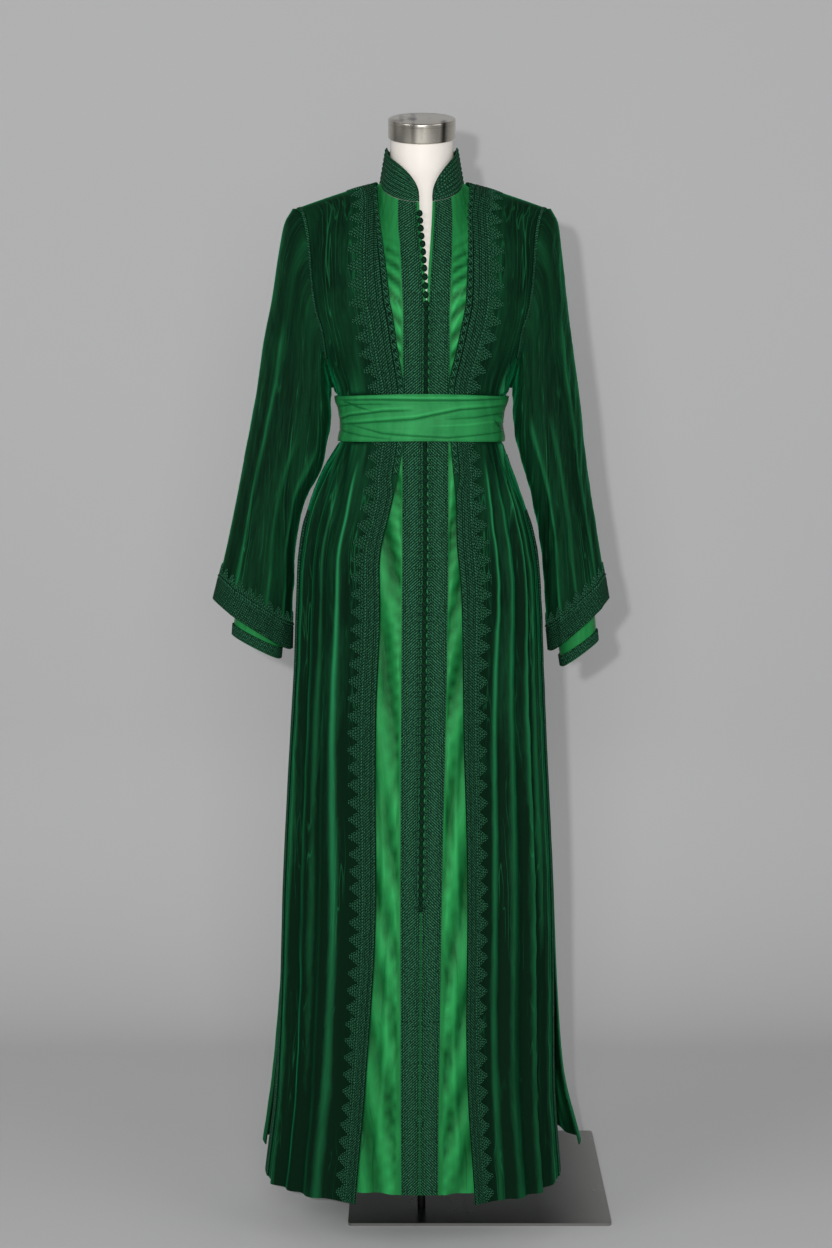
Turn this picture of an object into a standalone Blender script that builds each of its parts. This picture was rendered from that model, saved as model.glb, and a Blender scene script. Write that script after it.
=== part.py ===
"""Moroccan kaftan in two layers with its sash, worn by a limbless dress form on a square steel plate.

Metres, X to the right of someone who faces the front, Y away from them, Z up, and the origin on the floor
under the pole. Each cloth layer follows two shells, a front and a back one, that run from the hem to the
shoulder seam. A panel is a grid of points on a shell, moved out or in along its normal, and Solidify gives it
its wall. What is sewn on a panel is read from that panel's own grid and moved out.
"""

import math
from collections import namedtuple

import bmesh
import bpy
import numpy as np

# Stand
PLATE_SIDE = 0.380
PLATE_THICK = 0.005
PLATE_CORNER = 0.006
PLATE_CENTRE = (0.084, 0.130)
POLE_RADIUS = 0.006
CAP_RADIUS = 0.0465
CAP_HEIGHT = 0.027
CAP_EDGE = 0.002
HEAD_TILT = math.radians(15.0)
NECK_TOP_Z = 1.5425
TOUCH = 0.0004
SEWN_GAP = 0.0007

# Cloth walls
ROBE_WALL = 0.0018
DRESS_WALL = 0.0012
BRAID_WALL = 0.0015
COLLAR_WALL = 0.0024
SASH_WALL = 0.0020

# Places of the layers, measured outwards from the outer face of the robe
DRESS_LIFT = -0.0046
DRESS_SKIRT_LIFT = -0.0120
SASH_LIFT = 0.0062
FORM_GAP = 0.0009
FORM_LOW_GAP = 0.0040
FORM_NECK_GAP = 0.0026
DRESS_SHOULDER_LIFT = -0.0022
SEAM_TURN = 0.003
SHOULDER_GAP = 0.0010
NECK_CORNER_GAP = 0.0008

# Neckline and shoulder seam
NECK_HALF = 0.063
NECK_SIDE_Z = 1.483
NECK_TURN = math.radians(25.0)
NECK_FRONT_COLUMNS = 5
NECK_BACK_COLUMNS = 3
SHOULDER_HALF = 0.1745
SHOULDER_Z = 1.4465
SHOULDER_CROWN = 0.001
SQUARED = 0.05

# Numbers of the levels below: the slit, the sash, the sleeve seam and the chest
SLIT_TOP = 8.0
SASH_LEVELS = (10.0, 11.75)
UNDERARM = 12.0
CHEST = 14.0
TOP = 15.0

# One ring of cloth: heights at the middle and at the side seam, half widths, and depths
Level = namedtuple("Level", "z_mid z_side left right y_mid y_side")

ROBE_FRONT = (
    Level(0.078, 0.076, 0.224, 0.199, -0.174, -0.030),
    Level(0.205, 0.200, 0.209, 0.190, -0.167, -0.022),
    Level(0.350, 0.346, 0.201, 0.188, -0.161, -0.014),
    Level(0.504, 0.500, 0.196, 0.185, -0.155, -0.009),
    Level(0.670, 0.670, 0.187, 0.177, -0.148, -0.005),
    Level(0.800, 0.800, 0.179, 0.171, -0.142, -0.003),
    Level(0.900, 0.900, 0.175, 0.167, -0.137, -0.001),
    Level(0.970, 0.970, 0.171, 0.161, -0.131, 0.000),
    Level(1.030, 1.030, 0.160, 0.147, -0.123, 0.000),
    Level(1.085, 1.083, 0.139, 0.128, -0.112, 0.000),
    Level(1.130, 1.125, 0.1135, 0.1120, -0.104, 0.000),
    Level(1.165, 1.160, 0.1095, 0.1085, -0.101, 0.000),
    Level(1.206, 1.200, 0.1210, 0.1210, -0.105, 0.000),
    Level(1.258, 1.240, 0.1340, 0.1340, -0.113, -0.026),
    Level(1.320, 1.290, 0.1490, 0.1500, -0.117, -0.036),
)

ROBE_BACK = (
    Level(0.092, 0.088, 0.233, 0.235, 0.168, 0.034),
    Level(0.205, 0.200, 0.217, 0.208, 0.162, 0.020),
    Level(0.350, 0.346, 0.204, 0.196, 0.156, 0.010),
    Level(0.504, 0.500, 0.198, 0.189, 0.151, 0.005),
    Level(0.670, 0.670, 0.189, 0.180, 0.145, 0.003),
    Level(0.800, 0.800, 0.180, 0.172, 0.139, 0.002),
    Level(0.900, 0.900, 0.176, 0.168, 0.133, 0.001),
    Level(0.970, 0.970, 0.171, 0.161, 0.126, 0.000),
    Level(1.030, 1.030, 0.160, 0.147, 0.117, 0.000),
    Level(1.085, 1.083, 0.139, 0.128, 0.104, 0.000),
    Level(1.130, 1.125, 0.1135, 0.1120, 0.090, 0.000),
    Level(1.165, 1.160, 0.1095, 0.1085, 0.084, 0.000),
    Level(1.206, 1.200, 0.1210, 0.1210, 0.088, 0.000),
    Level(1.258, 1.240, 0.1340, 0.1340, 0.094, 0.022),
    Level(1.320, 1.290, 0.1490, 0.1500, 0.097, 0.030),
)

# Turn of the side seam and then of the sleeve seam at each level, in degrees, with the shoulder last
SIDE_TURN = (90.0,) * 13 + (74.0, 68.0, 90.0)

# The inner kaftan's own skirt, below the level where both layers meet
DRESS_SKIRT_FRONT = (
    Level(0.082, 0.088, 0.206, 0.196, -0.163, 0.0),
    Level(0.205, 0.200, 0.200, 0.190, -0.160, 0.0),
    Level(0.350, 0.346, 0.195, 0.187, -0.156, 0.0),
    Level(0.504, 0.500, 0.191, 0.183, -0.151, 0.0),
    Level(0.670, 0.670, 0.184, 0.176, -0.145, 0.0),
    Level(0.800, 0.800, 0.178, 0.170, -0.140, 0.0),
    Level(0.900, 0.900, 0.174, 0.166, -0.135, 0.0),
    Level(0.970, 0.970, 0.170, 0.160, -0.130, 0.0),
)
DRESS_SKIRT_BACK = tuple(row._replace(y_mid=-0.95 * row.y_mid) for row in DRESS_SKIRT_FRONT)
DRESS_UNDERARM_Z = 1.237
DRESS_ARMHOLE_RISE = 0.010
DRESS_ARMHOLE_SHARE = 0.70


def inner_layer(skirt, outer):
    """The inner kaftan's levels: its own skirt, then the robe's levels with a higher underarm."""
    upper = list(outer[len(skirt):])
    underarm, chest = int(UNDERARM), int(CHEST)
    upper[underarm - len(skirt)] = outer[underarm]._replace(z_side=DRESS_UNDERARM_Z)
    for number in range(underarm + 1, chest + 1):
        row = outer[number]
        rise = DRESS_ARMHOLE_RISE if number < chest else 0.0
        narrower = row.y_side * DRESS_ARMHOLE_SHARE
        upper[number - len(skirt)] = row._replace(z_side=row.z_side + rise, y_side=narrower)
    return skirt + tuple(upper)


DRESS_FRONT = inner_layer(DRESS_SKIRT_FRONT, ROBE_FRONT)
DRESS_BACK = inner_layer(DRESS_SKIRT_BACK, ROBE_BACK)

# Edges of the open fronts at each level, with the shoulder last, as distances from X = 0
Edge = namedtuple("Edge", "robe_left robe_right dress_middle dress_gap braid_left braid_right")
EDGES = (
    Edge(0.090, 0.070, -0.003, 0.0003, 0.031, 0.026),
    Edge(0.077, 0.065, -0.003, 0.0003, 0.033, 0.027),
    Edge(0.070, 0.061, -0.002, 0.0003, 0.036, 0.028),
    Edge(0.063, 0.059, -0.001, 0.0003, 0.038, 0.029),
    Edge(0.060, 0.058, 0.001, 0.0003, 0.040, 0.032),
    Edge(0.060, 0.057, 0.003, 0.0003, 0.041, 0.035),
    Edge(0.058, 0.052, 0.004, 0.0003, 0.041, 0.042),
    Edge(0.055, 0.048, 0.005, 0.0003, 0.040, 0.046),
    Edge(0.044, 0.047, 0.005, 0.0003, 0.041, 0.042),
    Edge(0.032, 0.043, 0.005, 0.0003, 0.045, 0.040),
    Edge(0.0255, 0.039, 0.005, 0.0003, 0.047, 0.041),
    Edge(0.0245, 0.037, 0.006, 0.0003, 0.048, 0.043),
    Edge(0.025, 0.036, 0.006, 0.0003, 0.050, 0.046),
    Edge(0.033, 0.047, 0.006, 0.0003, 0.053, 0.050),
    Edge(0.043, 0.059, 0.006, 0.0005, 0.055, 0.052),
    Edge(0.064, 0.066, 0.006, 0.0100, 0.048, 0.046),
)

# How far the robe's front edges stand forward of their shell, from the hem up
EDGE_FLARE = (0.010, 0.009, 0.008, 0.007, 0.006, 0.005, 0.004, 0.003, 0.002) + (0.0,) * 7
FLARE_SHARES = (1.0, 0.5)

# Half height of the long folds at each level, from the hem up
ROBE_FOLD = (
    0.0052, 0.0050, 0.0046, 0.0042, 0.0038, 0.0034, 0.0032, 0.0030, 0.0026, 0.0014
) + (0.0,) * 6
DRESS_FOLD = (0.0026, 0.0024, 0.0022, 0.0020, 0.0018, 0.0016, 0.0014, 0.0010) + (0.0,) * 8
FRONT_FOLDS = 4

# Columns of the panels beyond the neckline's corner, as shares of the way to the side seam
ROBE_BACK_SHARES = (0.115, 0.28, 0.46, 0.64, 0.82, 1.0)
DRESS_BACK_SHARES = (0.115, 0.40, 0.70, 1.0)

# Crests and hollows of the inner front's columns, from the button row to the side seam
DRESS_FRONT_WAVE = (0.0, 0.0, 0.0, -1.0, 0.8, 0.0, -0.6, 0.6, 0.0)
LEAST_SIDE_DEPTH = 0.06

# A ring of a sleeve: its outer and inner edge points, its depth in front and behind, and its place in Y
Ring = namedtuple("Ring", "out_x out_z in_x in_z front back y")

ROBE_SLEEVE_LEFT = (
    Ring(0.1745, 1.4465, 0.1215, 1.2000, 0.064, 0.056, 0.000),
    Ring(0.1890, 1.4300, 0.1270, 1.1850, 0.064, 0.058, 0.002),
    Ring(0.1975, 1.3900, 0.1275, 1.1600, 0.060, 0.058, 0.004),
    Ring(0.2080, 1.3210, 0.1330, 1.1250, 0.056, 0.056, 0.007),
    Ring(0.2190, 1.2660, 0.1430, 1.0850, 0.053, 0.054, 0.009),
    Ring(0.2320, 1.1830, 0.1665, 1.0400, 0.050, 0.052, 0.011),
    Ring(0.2460, 1.1130, 0.1765, 0.9950, 0.048, 0.050, 0.012),
    Ring(0.2600, 1.0430, 0.1815, 0.9450, 0.046, 0.048, 0.012),
    Ring(0.2750, 0.9750, 0.1845, 0.8900, 0.045, 0.046, 0.012),
    Ring(0.2940, 0.9000, 0.1865, 0.8300, 0.044, 0.044, 0.012),
)
ROBE_SLEEVE_RIGHT = (
    Ring(0.1745, 1.4465, 0.1215, 1.2000, 0.064, 0.056, 0.000),
    Ring(0.1880, 1.4300, 0.1270, 1.1850, 0.064, 0.058, 0.001),
    Ring(0.1935, 1.3900, 0.1285, 1.1600, 0.060, 0.058, 0.002),
    Ring(0.2010, 1.3210, 0.1340, 1.1250, 0.056, 0.056, 0.003),
    Ring(0.2080, 1.2660, 0.1430, 1.0920, 0.053, 0.054, 0.003),
    Ring(0.2200, 1.1830, 0.1560, 1.0500, 0.050, 0.052, 0.003),
    Ring(0.2275, 1.1130, 0.1660, 1.0000, 0.048, 0.050, 0.003),
    Ring(0.2380, 1.0430, 0.1730, 0.9480, 0.046, 0.048, 0.003),
    Ring(0.2500, 0.9750, 0.1765, 0.8900, 0.045, 0.046, 0.003),
    Ring(0.2630, 0.9020, 0.1820, 0.8290, 0.044, 0.044, 0.003),
)
DRESS_SLEEVE_LEFT = (
    Ring(0.1705, 1.4415, 0.1165, 1.2370, 0.053, 0.042, 0.000),
    Ring(0.1830, 1.4220, 0.1285, 1.2270, 0.052, 0.042, 0.002),
    Ring(0.1900, 1.3820, 0.1330, 1.1960, 0.049, 0.043, 0.004),
    Ring(0.1995, 1.3140, 0.1390, 1.1500, 0.047, 0.046, 0.007),
    Ring(0.2110, 1.2580, 0.1480, 1.1040, 0.045, 0.046, 0.009),
    Ring(0.2240, 1.1760, 0.1700, 1.0570, 0.042, 0.044, 0.011),
    Ring(0.2370, 1.1040, 0.1815, 1.0100, 0.040, 0.042, 0.012),
    Ring(0.2500, 1.0340, 0.1875, 0.9580, 0.037, 0.039, 0.012),
    Ring(0.2600, 0.9500, 0.1930, 0.8950, 0.032, 0.034, 0.012),
    Ring(0.2680, 0.8500, 0.2020, 0.8160, 0.026, 0.026, 0.012),
)
DRESS_SLEEVE_RIGHT = (
    Ring(0.1705, 1.4415, 0.1165, 1.2370, 0.053, 0.042, 0.000),
    Ring(0.1825, 1.4220, 0.1285, 1.2270, 0.052, 0.042, 0.001),
    Ring(0.1865, 1.3820, 0.1335, 1.1960, 0.049, 0.043, 0.002),
    Ring(0.1930, 1.3140, 0.1395, 1.1500, 0.047, 0.046, 0.003),
    Ring(0.2000, 1.2580, 0.1480, 1.1100, 0.045, 0.046, 0.003),
    Ring(0.2115, 1.1760, 0.1610, 1.0680, 0.042, 0.044, 0.003),
    Ring(0.2190, 1.1040, 0.1720, 1.0150, 0.040, 0.042, 0.003),
    Ring(0.2290, 1.0340, 0.1790, 0.9620, 0.037, 0.039, 0.003),
    Ring(0.2390, 0.9500, 0.1840, 0.9000, 0.032, 0.034, 0.003),
    Ring(0.2490, 0.8430, 0.1990, 0.8060, 0.026, 0.026, 0.003),
)

SLEEVE_SIDES = 16
SLEEVE_FOLDS = 4
SLEEVE_SEAM_GAP = 0.0006
SLEEVE_SEAM_RUN = 0.004
ROBE_SLEEVE_FOLD = 0.0030

# Braids, teeth and buttons
TOOTH_PITCH = 0.024
TOOTH_DEPTH = 0.011
BRAID_EDGE = 0.0008
SLIT_BRAID = 0.038
ARMHOLE_BRAID = 0.022
PLACKET_WIDTH = 0.026
BUTTON_PITCH = 0.012
BUTTON_SIDES = 4
PLACKET_BUTTON = (0.0045, 0.0034)
ROBE_BUTTON = (0.0036, 0.0027)
UNDER_SASH_SIZE = 0.30
PLACKET_BUTTON_ROW = 1.55
ROBE_BUTTON_END = 9.0

# Stand collar: height at the back and how far its front ends round off
COLLAR_HEIGHT = 0.047
COLLAR_ROUND = 0.050
COLLAR_LEAN = 0.0080
COLLAR_GAP = 0.0004

# Sash: its columns and rows, and how deep the creases between its wraps are
SASH_SIDES = 28
SASH_ROWS = 5
SASH_CREASE = 0.0005

# The form: its lower end, and its neck above the neckline as half width, front, back, height and tilt
FORM_LOW_LEVEL = 6.0
FORM_LOW_Z = 0.900
FORM_SHOULDER_COLUMNS = 5
SAME_PLACE = 0.0001
NO_AREA = 1e-9
NeckRing = namedtuple("NeckRing", "half front back z tilt")
NECK = (
    NeckRing(0.0485, -0.0520, 0.0460, 1.4850, 0.10),
    NeckRing(0.0450, -0.0470, 0.0435, 1.5020, 0.10),
    NeckRing(0.0430, -0.0430, 0.0420, NECK_TOP_Z - TOUCH, math.tan(HEAD_TILT)),
)

COLLECTION = "moroccan_kaftan"
Finish = namedtuple("Finish", "colour roughness metallic")
FINISHES = {
    "velvet": Finish((0.006, 0.035, 0.016), 0.75, 0.0),
    "satin": Finish((0.035, 0.30, 0.085), 0.35, 0.0),
    "sash_satin": Finish((0.045, 0.33, 0.11), 0.35, 0.0),
    "braid": Finish((0.012, 0.055, 0.030), 0.65, 0.0),
    "form_skin": Finish((0.80, 0.76, 0.70), 0.55, 0.0),
    "brushed_steel": Finish((0.55, 0.54, 0.52), 0.30, 1.0),
}


def through(values, at):
    """Smooth curve through evenly numbered values, read at fractional places."""
    values = np.asarray(values, dtype=float)
    place = np.clip(np.asarray(at, dtype=float), 0.0, len(values) - 1.0)
    first = np.minimum(place.astype(int), len(values) - 2)
    t = place - first
    slope = np.gradient(values)
    start, end = values[first], values[first + 1]
    leave, arrive = slope[first], slope[first + 1]
    return hermite(start, leave, end, arrive, t)


def hermite(start, leave, end, arrive, t):
    """Cubic from start to end with the given slopes at both."""
    rise = t * t * (3.0 - 2.0 * t)
    early = t * (1.0 - t) ** 2
    late = t * t * (t - 1.0)
    return start * (1.0 - rise) + end * rise + leave * early + arrive * late


def column(rows, name):
    """One named column of a table."""
    return [getattr(row, name) for row in rows]


def unit(vectors):
    """Vectors scaled to length one."""
    return vectors / np.linalg.norm(vectors, axis=-1, keepdims=True)


def ease(t):
    """Smooth step from 0 to 1."""
    t = np.clip(t, 0.0, 1.0)
    return t * t * (3.0 - 2.0 * t)


def ring_point(layer, turn, level):
    """Point of a layer below the chest: an ellipse, a little squared, turned from the middle to the side."""
    left = through(column(layer, "left"), level)
    right = through(column(layer, "right"), level)
    y_mid = through(column(layer, "y_mid"), level)
    y_side = through(column(layer, "y_side"), level)
    z_mid = through(column(layer, "z_mid"), level)
    z_side = through(column(layer, "z_side"), level)
    half = (left + right) / 2.0 + (right - left) / 2.0 * np.sin(turn)
    squared = 1.0 + SQUARED * np.sin(2.0 * turn) ** 2
    x = half * np.sin(turn) * squared
    y = y_side + (y_mid - y_side) * np.cos(turn) * squared
    z = z_side + (z_mid - z_side) * np.cos(turn) ** 2
    return np.stack([x, y, z], axis=-1)


def top_point(facing, turn):
    """Point of a layer's top line: the neckline in the middle, then the shoulder seam out to the sleeve."""
    size = np.abs(turn)
    neck = np.minimum(size / NECK_TURN, 1.0) * math.pi / 2.0
    out = np.maximum((size - NECK_TURN) / (math.pi / 2.0 - NECK_TURN), 0.0)
    depth = -0.070 if facing < 0 else 0.060
    middle_z = 1.455 if facing < 0 else 1.474
    x = NECK_HALF * np.sin(neck) + (SHOULDER_HALF - NECK_HALF) * out
    near_corner = np.exp(-((size - NECK_TURN) / 0.15) ** 2)
    y = depth * np.cos(neck) + facing * (SHOULDER_GAP + NECK_CORNER_GAP * near_corner)
    z = middle_z + (NECK_SIDE_Z - middle_z) * (1.0 - np.cos(neck))
    z = z + (SHOULDER_Z - NECK_SIDE_Z) * out + SHOULDER_CROWN * np.sin(math.pi * np.minimum(out, 1.0))
    return np.stack([np.sign(turn) * x, y, z], axis=-1)


def shell(facing, layer, turn, level):
    """Point of the front (facing -1) or back (facing 1) shell of a layer."""
    turn, level = np.broadcast_arrays(np.asarray(turn, dtype=float), np.asarray(level, dtype=float))
    low = ring_point(layer, turn, np.minimum(level, CHEST))
    start = ring_point(layer, turn, np.full(turn.shape, CHEST))
    before = ring_point(layer, turn, np.full(turn.shape, CHEST - 0.05))
    end = top_point(facing, turn)
    reach = np.linalg.norm(end - start, axis=-1, keepdims=True)
    share = np.abs(turn) / NECK_TURN
    over = ease((share - 0.6) / 1.0)[..., None]
    forward = -facing * (0.35 + 0.40 * np.minimum(share, 1.0))
    to_neck = unit(np.stack([np.zeros(turn.shape), forward, np.ones(turn.shape)], axis=-1))
    to_seam = unit(np.array([0.0, -facing * 1.0, 0.05]))
    arrive = (to_neck * (1.0 - over) + to_seam * over) * reach
    leave = unit(start - before) * reach
    rise = np.clip(level - CHEST, 0.0, 1.0)[..., None]
    high = hermite(start, leave, end, arrive, rise)
    return np.where(level[..., None] <= CHEST, low, high)


def shell_normal(facing, layer, turn, level):
    """Outward normal of a shell, from small steps along it."""
    turn, level = np.broadcast_arrays(np.asarray(turn, dtype=float), np.asarray(level, dtype=float))
    step = 0.002
    across = shell(facing, layer, turn + step, level) - shell(facing, layer, turn - step, level)
    above = shell(facing, layer, turn, np.minimum(level + step, TOP))
    below = shell(facing, layer, turn, np.maximum(level - step, 0.0))
    return unit(np.cross(across, above - below)) * -facing


def turn_at(facing, layer, x, level):
    """Turn at which a layer reaches a distance x at each level."""
    turns = np.linspace(-0.5, math.pi / 2.0, 240)
    found = []
    for one_x, one_level in zip(np.broadcast_to(x, np.shape(level)), level):
        reach = shell(facing, layer, turns, np.full(turns.shape, one_level))[:, 0]
        found.append(np.interp(one_x, reach, turns))
    return np.array(found)


def grid_normals(points, outward):
    """Unit normals of a grid's own facets, on the side that outward points to."""
    across = np.gradient(points, axis=1)
    along = np.gradient(points, axis=0)
    normals = unit(np.cross(across, along))
    side = np.sign(np.sum(normals * outward, axis=-1, keepdims=True))
    return normals * np.where(side == 0.0, 1.0, side)


Panel = namedtuple("Panel", "points outward")


def falls_across(points, outward):
    """Whether each square of a grid folds inwards along its diagonal from the first corner to the opposite one."""
    along_it = points[:-1, :-1] + points[1:, 1:]
    across_it = points[:-1, 1:] + points[1:, :-1]
    return np.sum((along_it - across_it) * outward[:-1, :-1], axis=-1) <= 0.0


def grid_faces(numbers, falls):
    """Two triangles for each square of a grid of vertex numbers, split along the diagonal that folds inwards."""
    low, over = numbers[:-1, :-1], numbers[:-1, 1:]
    above, opposite = numbers[1:, :-1], numbers[1:, 1:]
    falls = falls[..., None]
    first = np.where(falls, np.stack([low, over, opposite], -1), np.stack([low, over, above], -1))
    second = np.where(falls, np.stack([low, opposite, above], -1), np.stack([over, opposite, above], -1))
    return np.concatenate([first.reshape(-1, 3), second.reshape(-1, 3)])


def make_panel(facing, layer, turns, levels, lift):
    """Panel on a shell: a grid of turns at each level, moved out by lift."""
    level_grid = np.broadcast_to(levels[:, None], turns.shape)
    normals = shell_normal(facing, layer, turns, level_grid)
    points = shell(facing, layer, turns, level_grid) + normals * lift[..., None]
    if facing < 0:
        points[-1, :, 1] = np.minimum(points[-1, :, 1], -SHOULDER_GAP)
    else:
        points[-1, :, 1] = np.maximum(points[-1, :, 1], SHOULDER_GAP)
    return Panel(points, normals)


def finish_material(name):
    """Material of a finish, made once."""
    material = bpy.data.materials.get(name)
    if material is None:
        finish = FINISHES[name]
        material = bpy.data.materials.new(name)
        material.use_nodes = True
        shader = material.node_tree.nodes["Principled BSDF"]
        shader.inputs["Base Color"].default_value = (*finish.colour, 1.0)
        shader.inputs["Roughness"].default_value = finish.roughness
        shader.inputs["Metallic"].default_value = finish.metallic
    return material


def add_object(name, mesh, finish):
    """Object in the garment's collection with one material."""
    mesh.materials.append(finish_material(finish))
    piece = bpy.data.objects.new(name, mesh)
    bpy.data.collections[COLLECTION].objects.link(piece)
    return piece


def cloth(name, points, outward, wall, finish, closed=False):
    """Cloth of a grid of points: an open sheet, or a tube if closed, with its wall on the inner side."""
    rows, columns = points.shape[:2]
    numbers = np.arange(rows * columns).reshape(rows, columns)
    if closed:
        numbers = np.concatenate([numbers, numbers[:, :1]], axis=1)
        points = np.concatenate([points, points[:, :1]], axis=1)
        outward = np.concatenate([outward, outward[:, :1]], axis=1)
    faces = grid_faces(numbers, falls_across(points, outward))
    flat = points[:, :columns].reshape(-1, 3)
    outward = outward[:, :columns]
    middle = faces[len(faces) // 4]
    facing_out = np.cross(flat[middle[1]] - flat[middle[0]], flat[middle[2]] - flat[middle[0]])
    if np.dot(facing_out, outward.reshape(-1, 3)[middle[0]]) < 0.0:
        faces = faces[:, ::-1]
    mesh = bpy.data.meshes.new(name)
    mesh.from_pydata(flat.tolist(), [], faces.tolist())
    mesh.shade_smooth()
    piece = add_object(name, mesh, finish)
    thicken = piece.modifiers.new("wall", "SOLIDIFY")
    thicken.thickness = wall
    thicken.offset = -1.0
    return piece


def fold_wave(count, phase):
    """Heights of crests and hollows at alternate columns, uneven as in real cloth, and faded at both ends."""
    places = np.arange(count)
    wave = np.where(places % 2 == 0, -1.0, 1.0) * (0.78 + 0.30 * np.sin(1.9 * places + phase))
    rise = ease((places + 1.0) / 2.0)
    fall = ease((count - places) / 3.0)
    return wave * rise * fall


UPPER_LEVELS = CHEST + np.array([0.25, 0.50, 0.72, 0.88, 1.0])
ROBE_LEVELS = np.concatenate([np.arange(0.0, CHEST + 0.5), UPPER_LEVELS])
DRESS_LEVELS = np.concatenate([[0.0, 2.0, 4.0, 6.0], np.arange(8.0, CHEST + 0.5), UPPER_LEVELS])


def side_turn(levels):
    """Turn of a panel's side edge at each level: the side seam, then the sleeve seam."""
    return np.radians(through(SIDE_TURN, levels)) - SEAM_TURN


def depth_at(layer, levels):
    """Depth of a layer's ring from its side to its middle."""
    return np.abs(through(column(layer, "y_mid"), levels) - through(column(layer, "y_side"), levels))


def robe_front(side):
    """Front half of the robe: braid, then long folds, then the slit or armhole edge."""
    name = "left" if side < 0 else "right"
    levels = ROBE_LEVELS
    edge = through(column(EDGES, "robe_" + name), levels)
    braid = through(column(EDGES, "braid_" + name), levels)
    layer = ROBE_FRONT if side > 0 else mirrored(ROBE_FRONT)
    start = turn_at(-1, layer, edge, levels)
    outer = turn_at(-1, layer, edge + braid, levels)
    end = side_turn(levels)
    bare = SLIT_BRAID + (ARMHOLE_BRAID - SLIT_BRAID) * ease((levels - SLIT_TOP) / 3.0)
    inner = end - bare / np.maximum(depth_at(ROBE_FRONT, levels), LEAST_SIDE_DEPTH)
    shares = np.linspace(0.0, 1.0, 2 * FRONT_FOLDS + 1)
    turns = np.concatenate(
        [
            start[:, None],
            (start + outer)[:, None] / 2.0,
            outer[:, None] + (inner - outer)[:, None] * shares,
            (inner + end)[:, None] / 2.0,
            end[:, None],
        ],
        axis=1,
    )
    folds = fold_wave(2 * FRONT_FOLDS - 1, side)
    wave = np.concatenate([[0.0, 0.0, 0.0], folds, [0.0, 0.0, 0.0]])
    lift = through(ROBE_FOLD, levels)[:, None] * wave
    flare = through(EDGE_FLARE, levels)
    for place, share in enumerate(FLARE_SHARES):
        lift[:, place] += flare * share
    return make_panel(-1, ROBE_FRONT, side * turns, levels, lift)


def mirrored(layer):
    """The same layer with its left and right half widths swapped."""
    return tuple(row._replace(left=row.right, right=row.left) for row in layer)


def back_turns(levels, shares):
    """Turns of a back panel's columns at each level, with one on each corner of the neckline."""
    end = side_turn(levels)[:, None]
    neck = np.linspace(0.0, NECK_TURN, NECK_BACK_COLUMNS + 1)
    neck = np.broadcast_to(neck, (len(levels), len(neck)))
    out = NECK_TURN + (end - NECK_TURN) * np.array(shares)
    half = np.concatenate([neck, out], axis=1)
    return np.concatenate([-half[:, :0:-1], half], axis=1)


def robe_back():
    """Back of the robe in one piece, from side seam to side seam."""
    levels = ROBE_LEVELS
    turns = back_turns(levels, ROBE_BACK_SHARES)
    wave = fold_wave(turns.shape[1], 0.4)
    lift = through(ROBE_FOLD, levels)[:, None] * wave
    return make_panel(1, ROBE_BACK, turns, levels, lift)


def dress_lift(levels):
    """How far the inner kaftan lies inside the robe's shell at each level."""
    upper = ease((levels - 8.0) / 2.0)
    shoulder = ease((levels - CHEST) / 0.5)
    return DRESS_SKIRT_LIFT + (DRESS_LIFT - DRESS_SKIRT_LIFT) * upper + DRESS_SHOULDER_LIFT * shoulder


def dress_place(levels, wave, in_form):
    """Lift of the inner kaftan's columns at each level, or of the form just inside it."""
    if in_form:
        below_waist = FORM_LOW_GAP * ease((10.0 - levels) / 2.0)
        lift = dress_lift(levels) - DRESS_WALL - FORM_GAP - below_waist
        return np.repeat(lift[:, None], len(wave), axis=1)
    return dress_lift(levels)[:, None] + through(DRESS_FOLD, levels)[:, None] * wave


def dress_front(side, in_form=False):
    """Front half of the inner kaftan: placket, then two soft folds that show, then the covered side."""
    levels = DRESS_LEVELS
    middle = through(column(EDGES, "dress_middle"), levels)
    gap = through(column(EDGES, "dress_gap"), levels)
    layer = DRESS_FRONT if side > 0 else mirrored(DRESS_FRONT)
    placket = PLACKET_BUTTON[0] + BRAID_EDGE + PLACKET_WIDTH
    start = turn_at(-1, layer, side * middle + gap, levels)
    outer = turn_at(-1, layer, side * middle + gap + placket, levels)
    end = side_turn(levels)
    out = NECK_TURN + (end - NECK_TURN)[:, None] * np.array([0.0, *DRESS_BACK_SHARES])
    turns = np.concatenate(
        [start[:, None], (start + outer)[:, None] / 2.0, outer[:, None], (outer + NECK_TURN)[:, None] / 2.0, out],
        axis=1,
    )
    lift = dress_place(levels, np.array(DRESS_FRONT_WAVE), in_form)
    return make_panel(-1, DRESS_FRONT, side * turns, levels, lift)


def dress_back(in_form=False):
    """Back of the inner kaftan in one piece."""
    levels = DRESS_LEVELS
    turns = back_turns(levels, DRESS_BACK_SHARES)
    wave = fold_wave(turns.shape[1], 0.9)
    return make_panel(1, DRESS_BACK, turns, levels, dress_place(levels, wave, in_form))


def along(points):
    """Length travelled at each point of a line."""
    steps = np.linalg.norm(np.diff(points, axis=0), axis=1)
    return np.concatenate([[0.0], np.cumsum(steps)])


def resampled(points, count):
    """The same line with evenly spaced points."""
    travelled = along(points)
    wanted = np.linspace(0.0, travelled[-1], count)
    return np.stack([np.interp(wanted, travelled, points[:, axis]) for axis in range(3)], axis=1)


def armhole(front, back, levels, underarm):
    """Loop of a sleeve seam, from the shoulder down the front edge to the underarm and up the back edge."""
    low = np.argmin(np.abs(levels - underarm))
    front_edge = front[low:][::-1]
    back_edge = back[low:]
    half = SLEEVE_SIDES // 2
    down = resampled(front_edge, half + 1)
    up = resampled(back_edge, half + 1)
    seam = (down[-1] + up[0]) / 2.0
    tip = (down[0] + up[-1]) / 2.0
    return np.concatenate([[tip], down[1:-1], [seam], up[1:-1]], axis=0)


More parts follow.
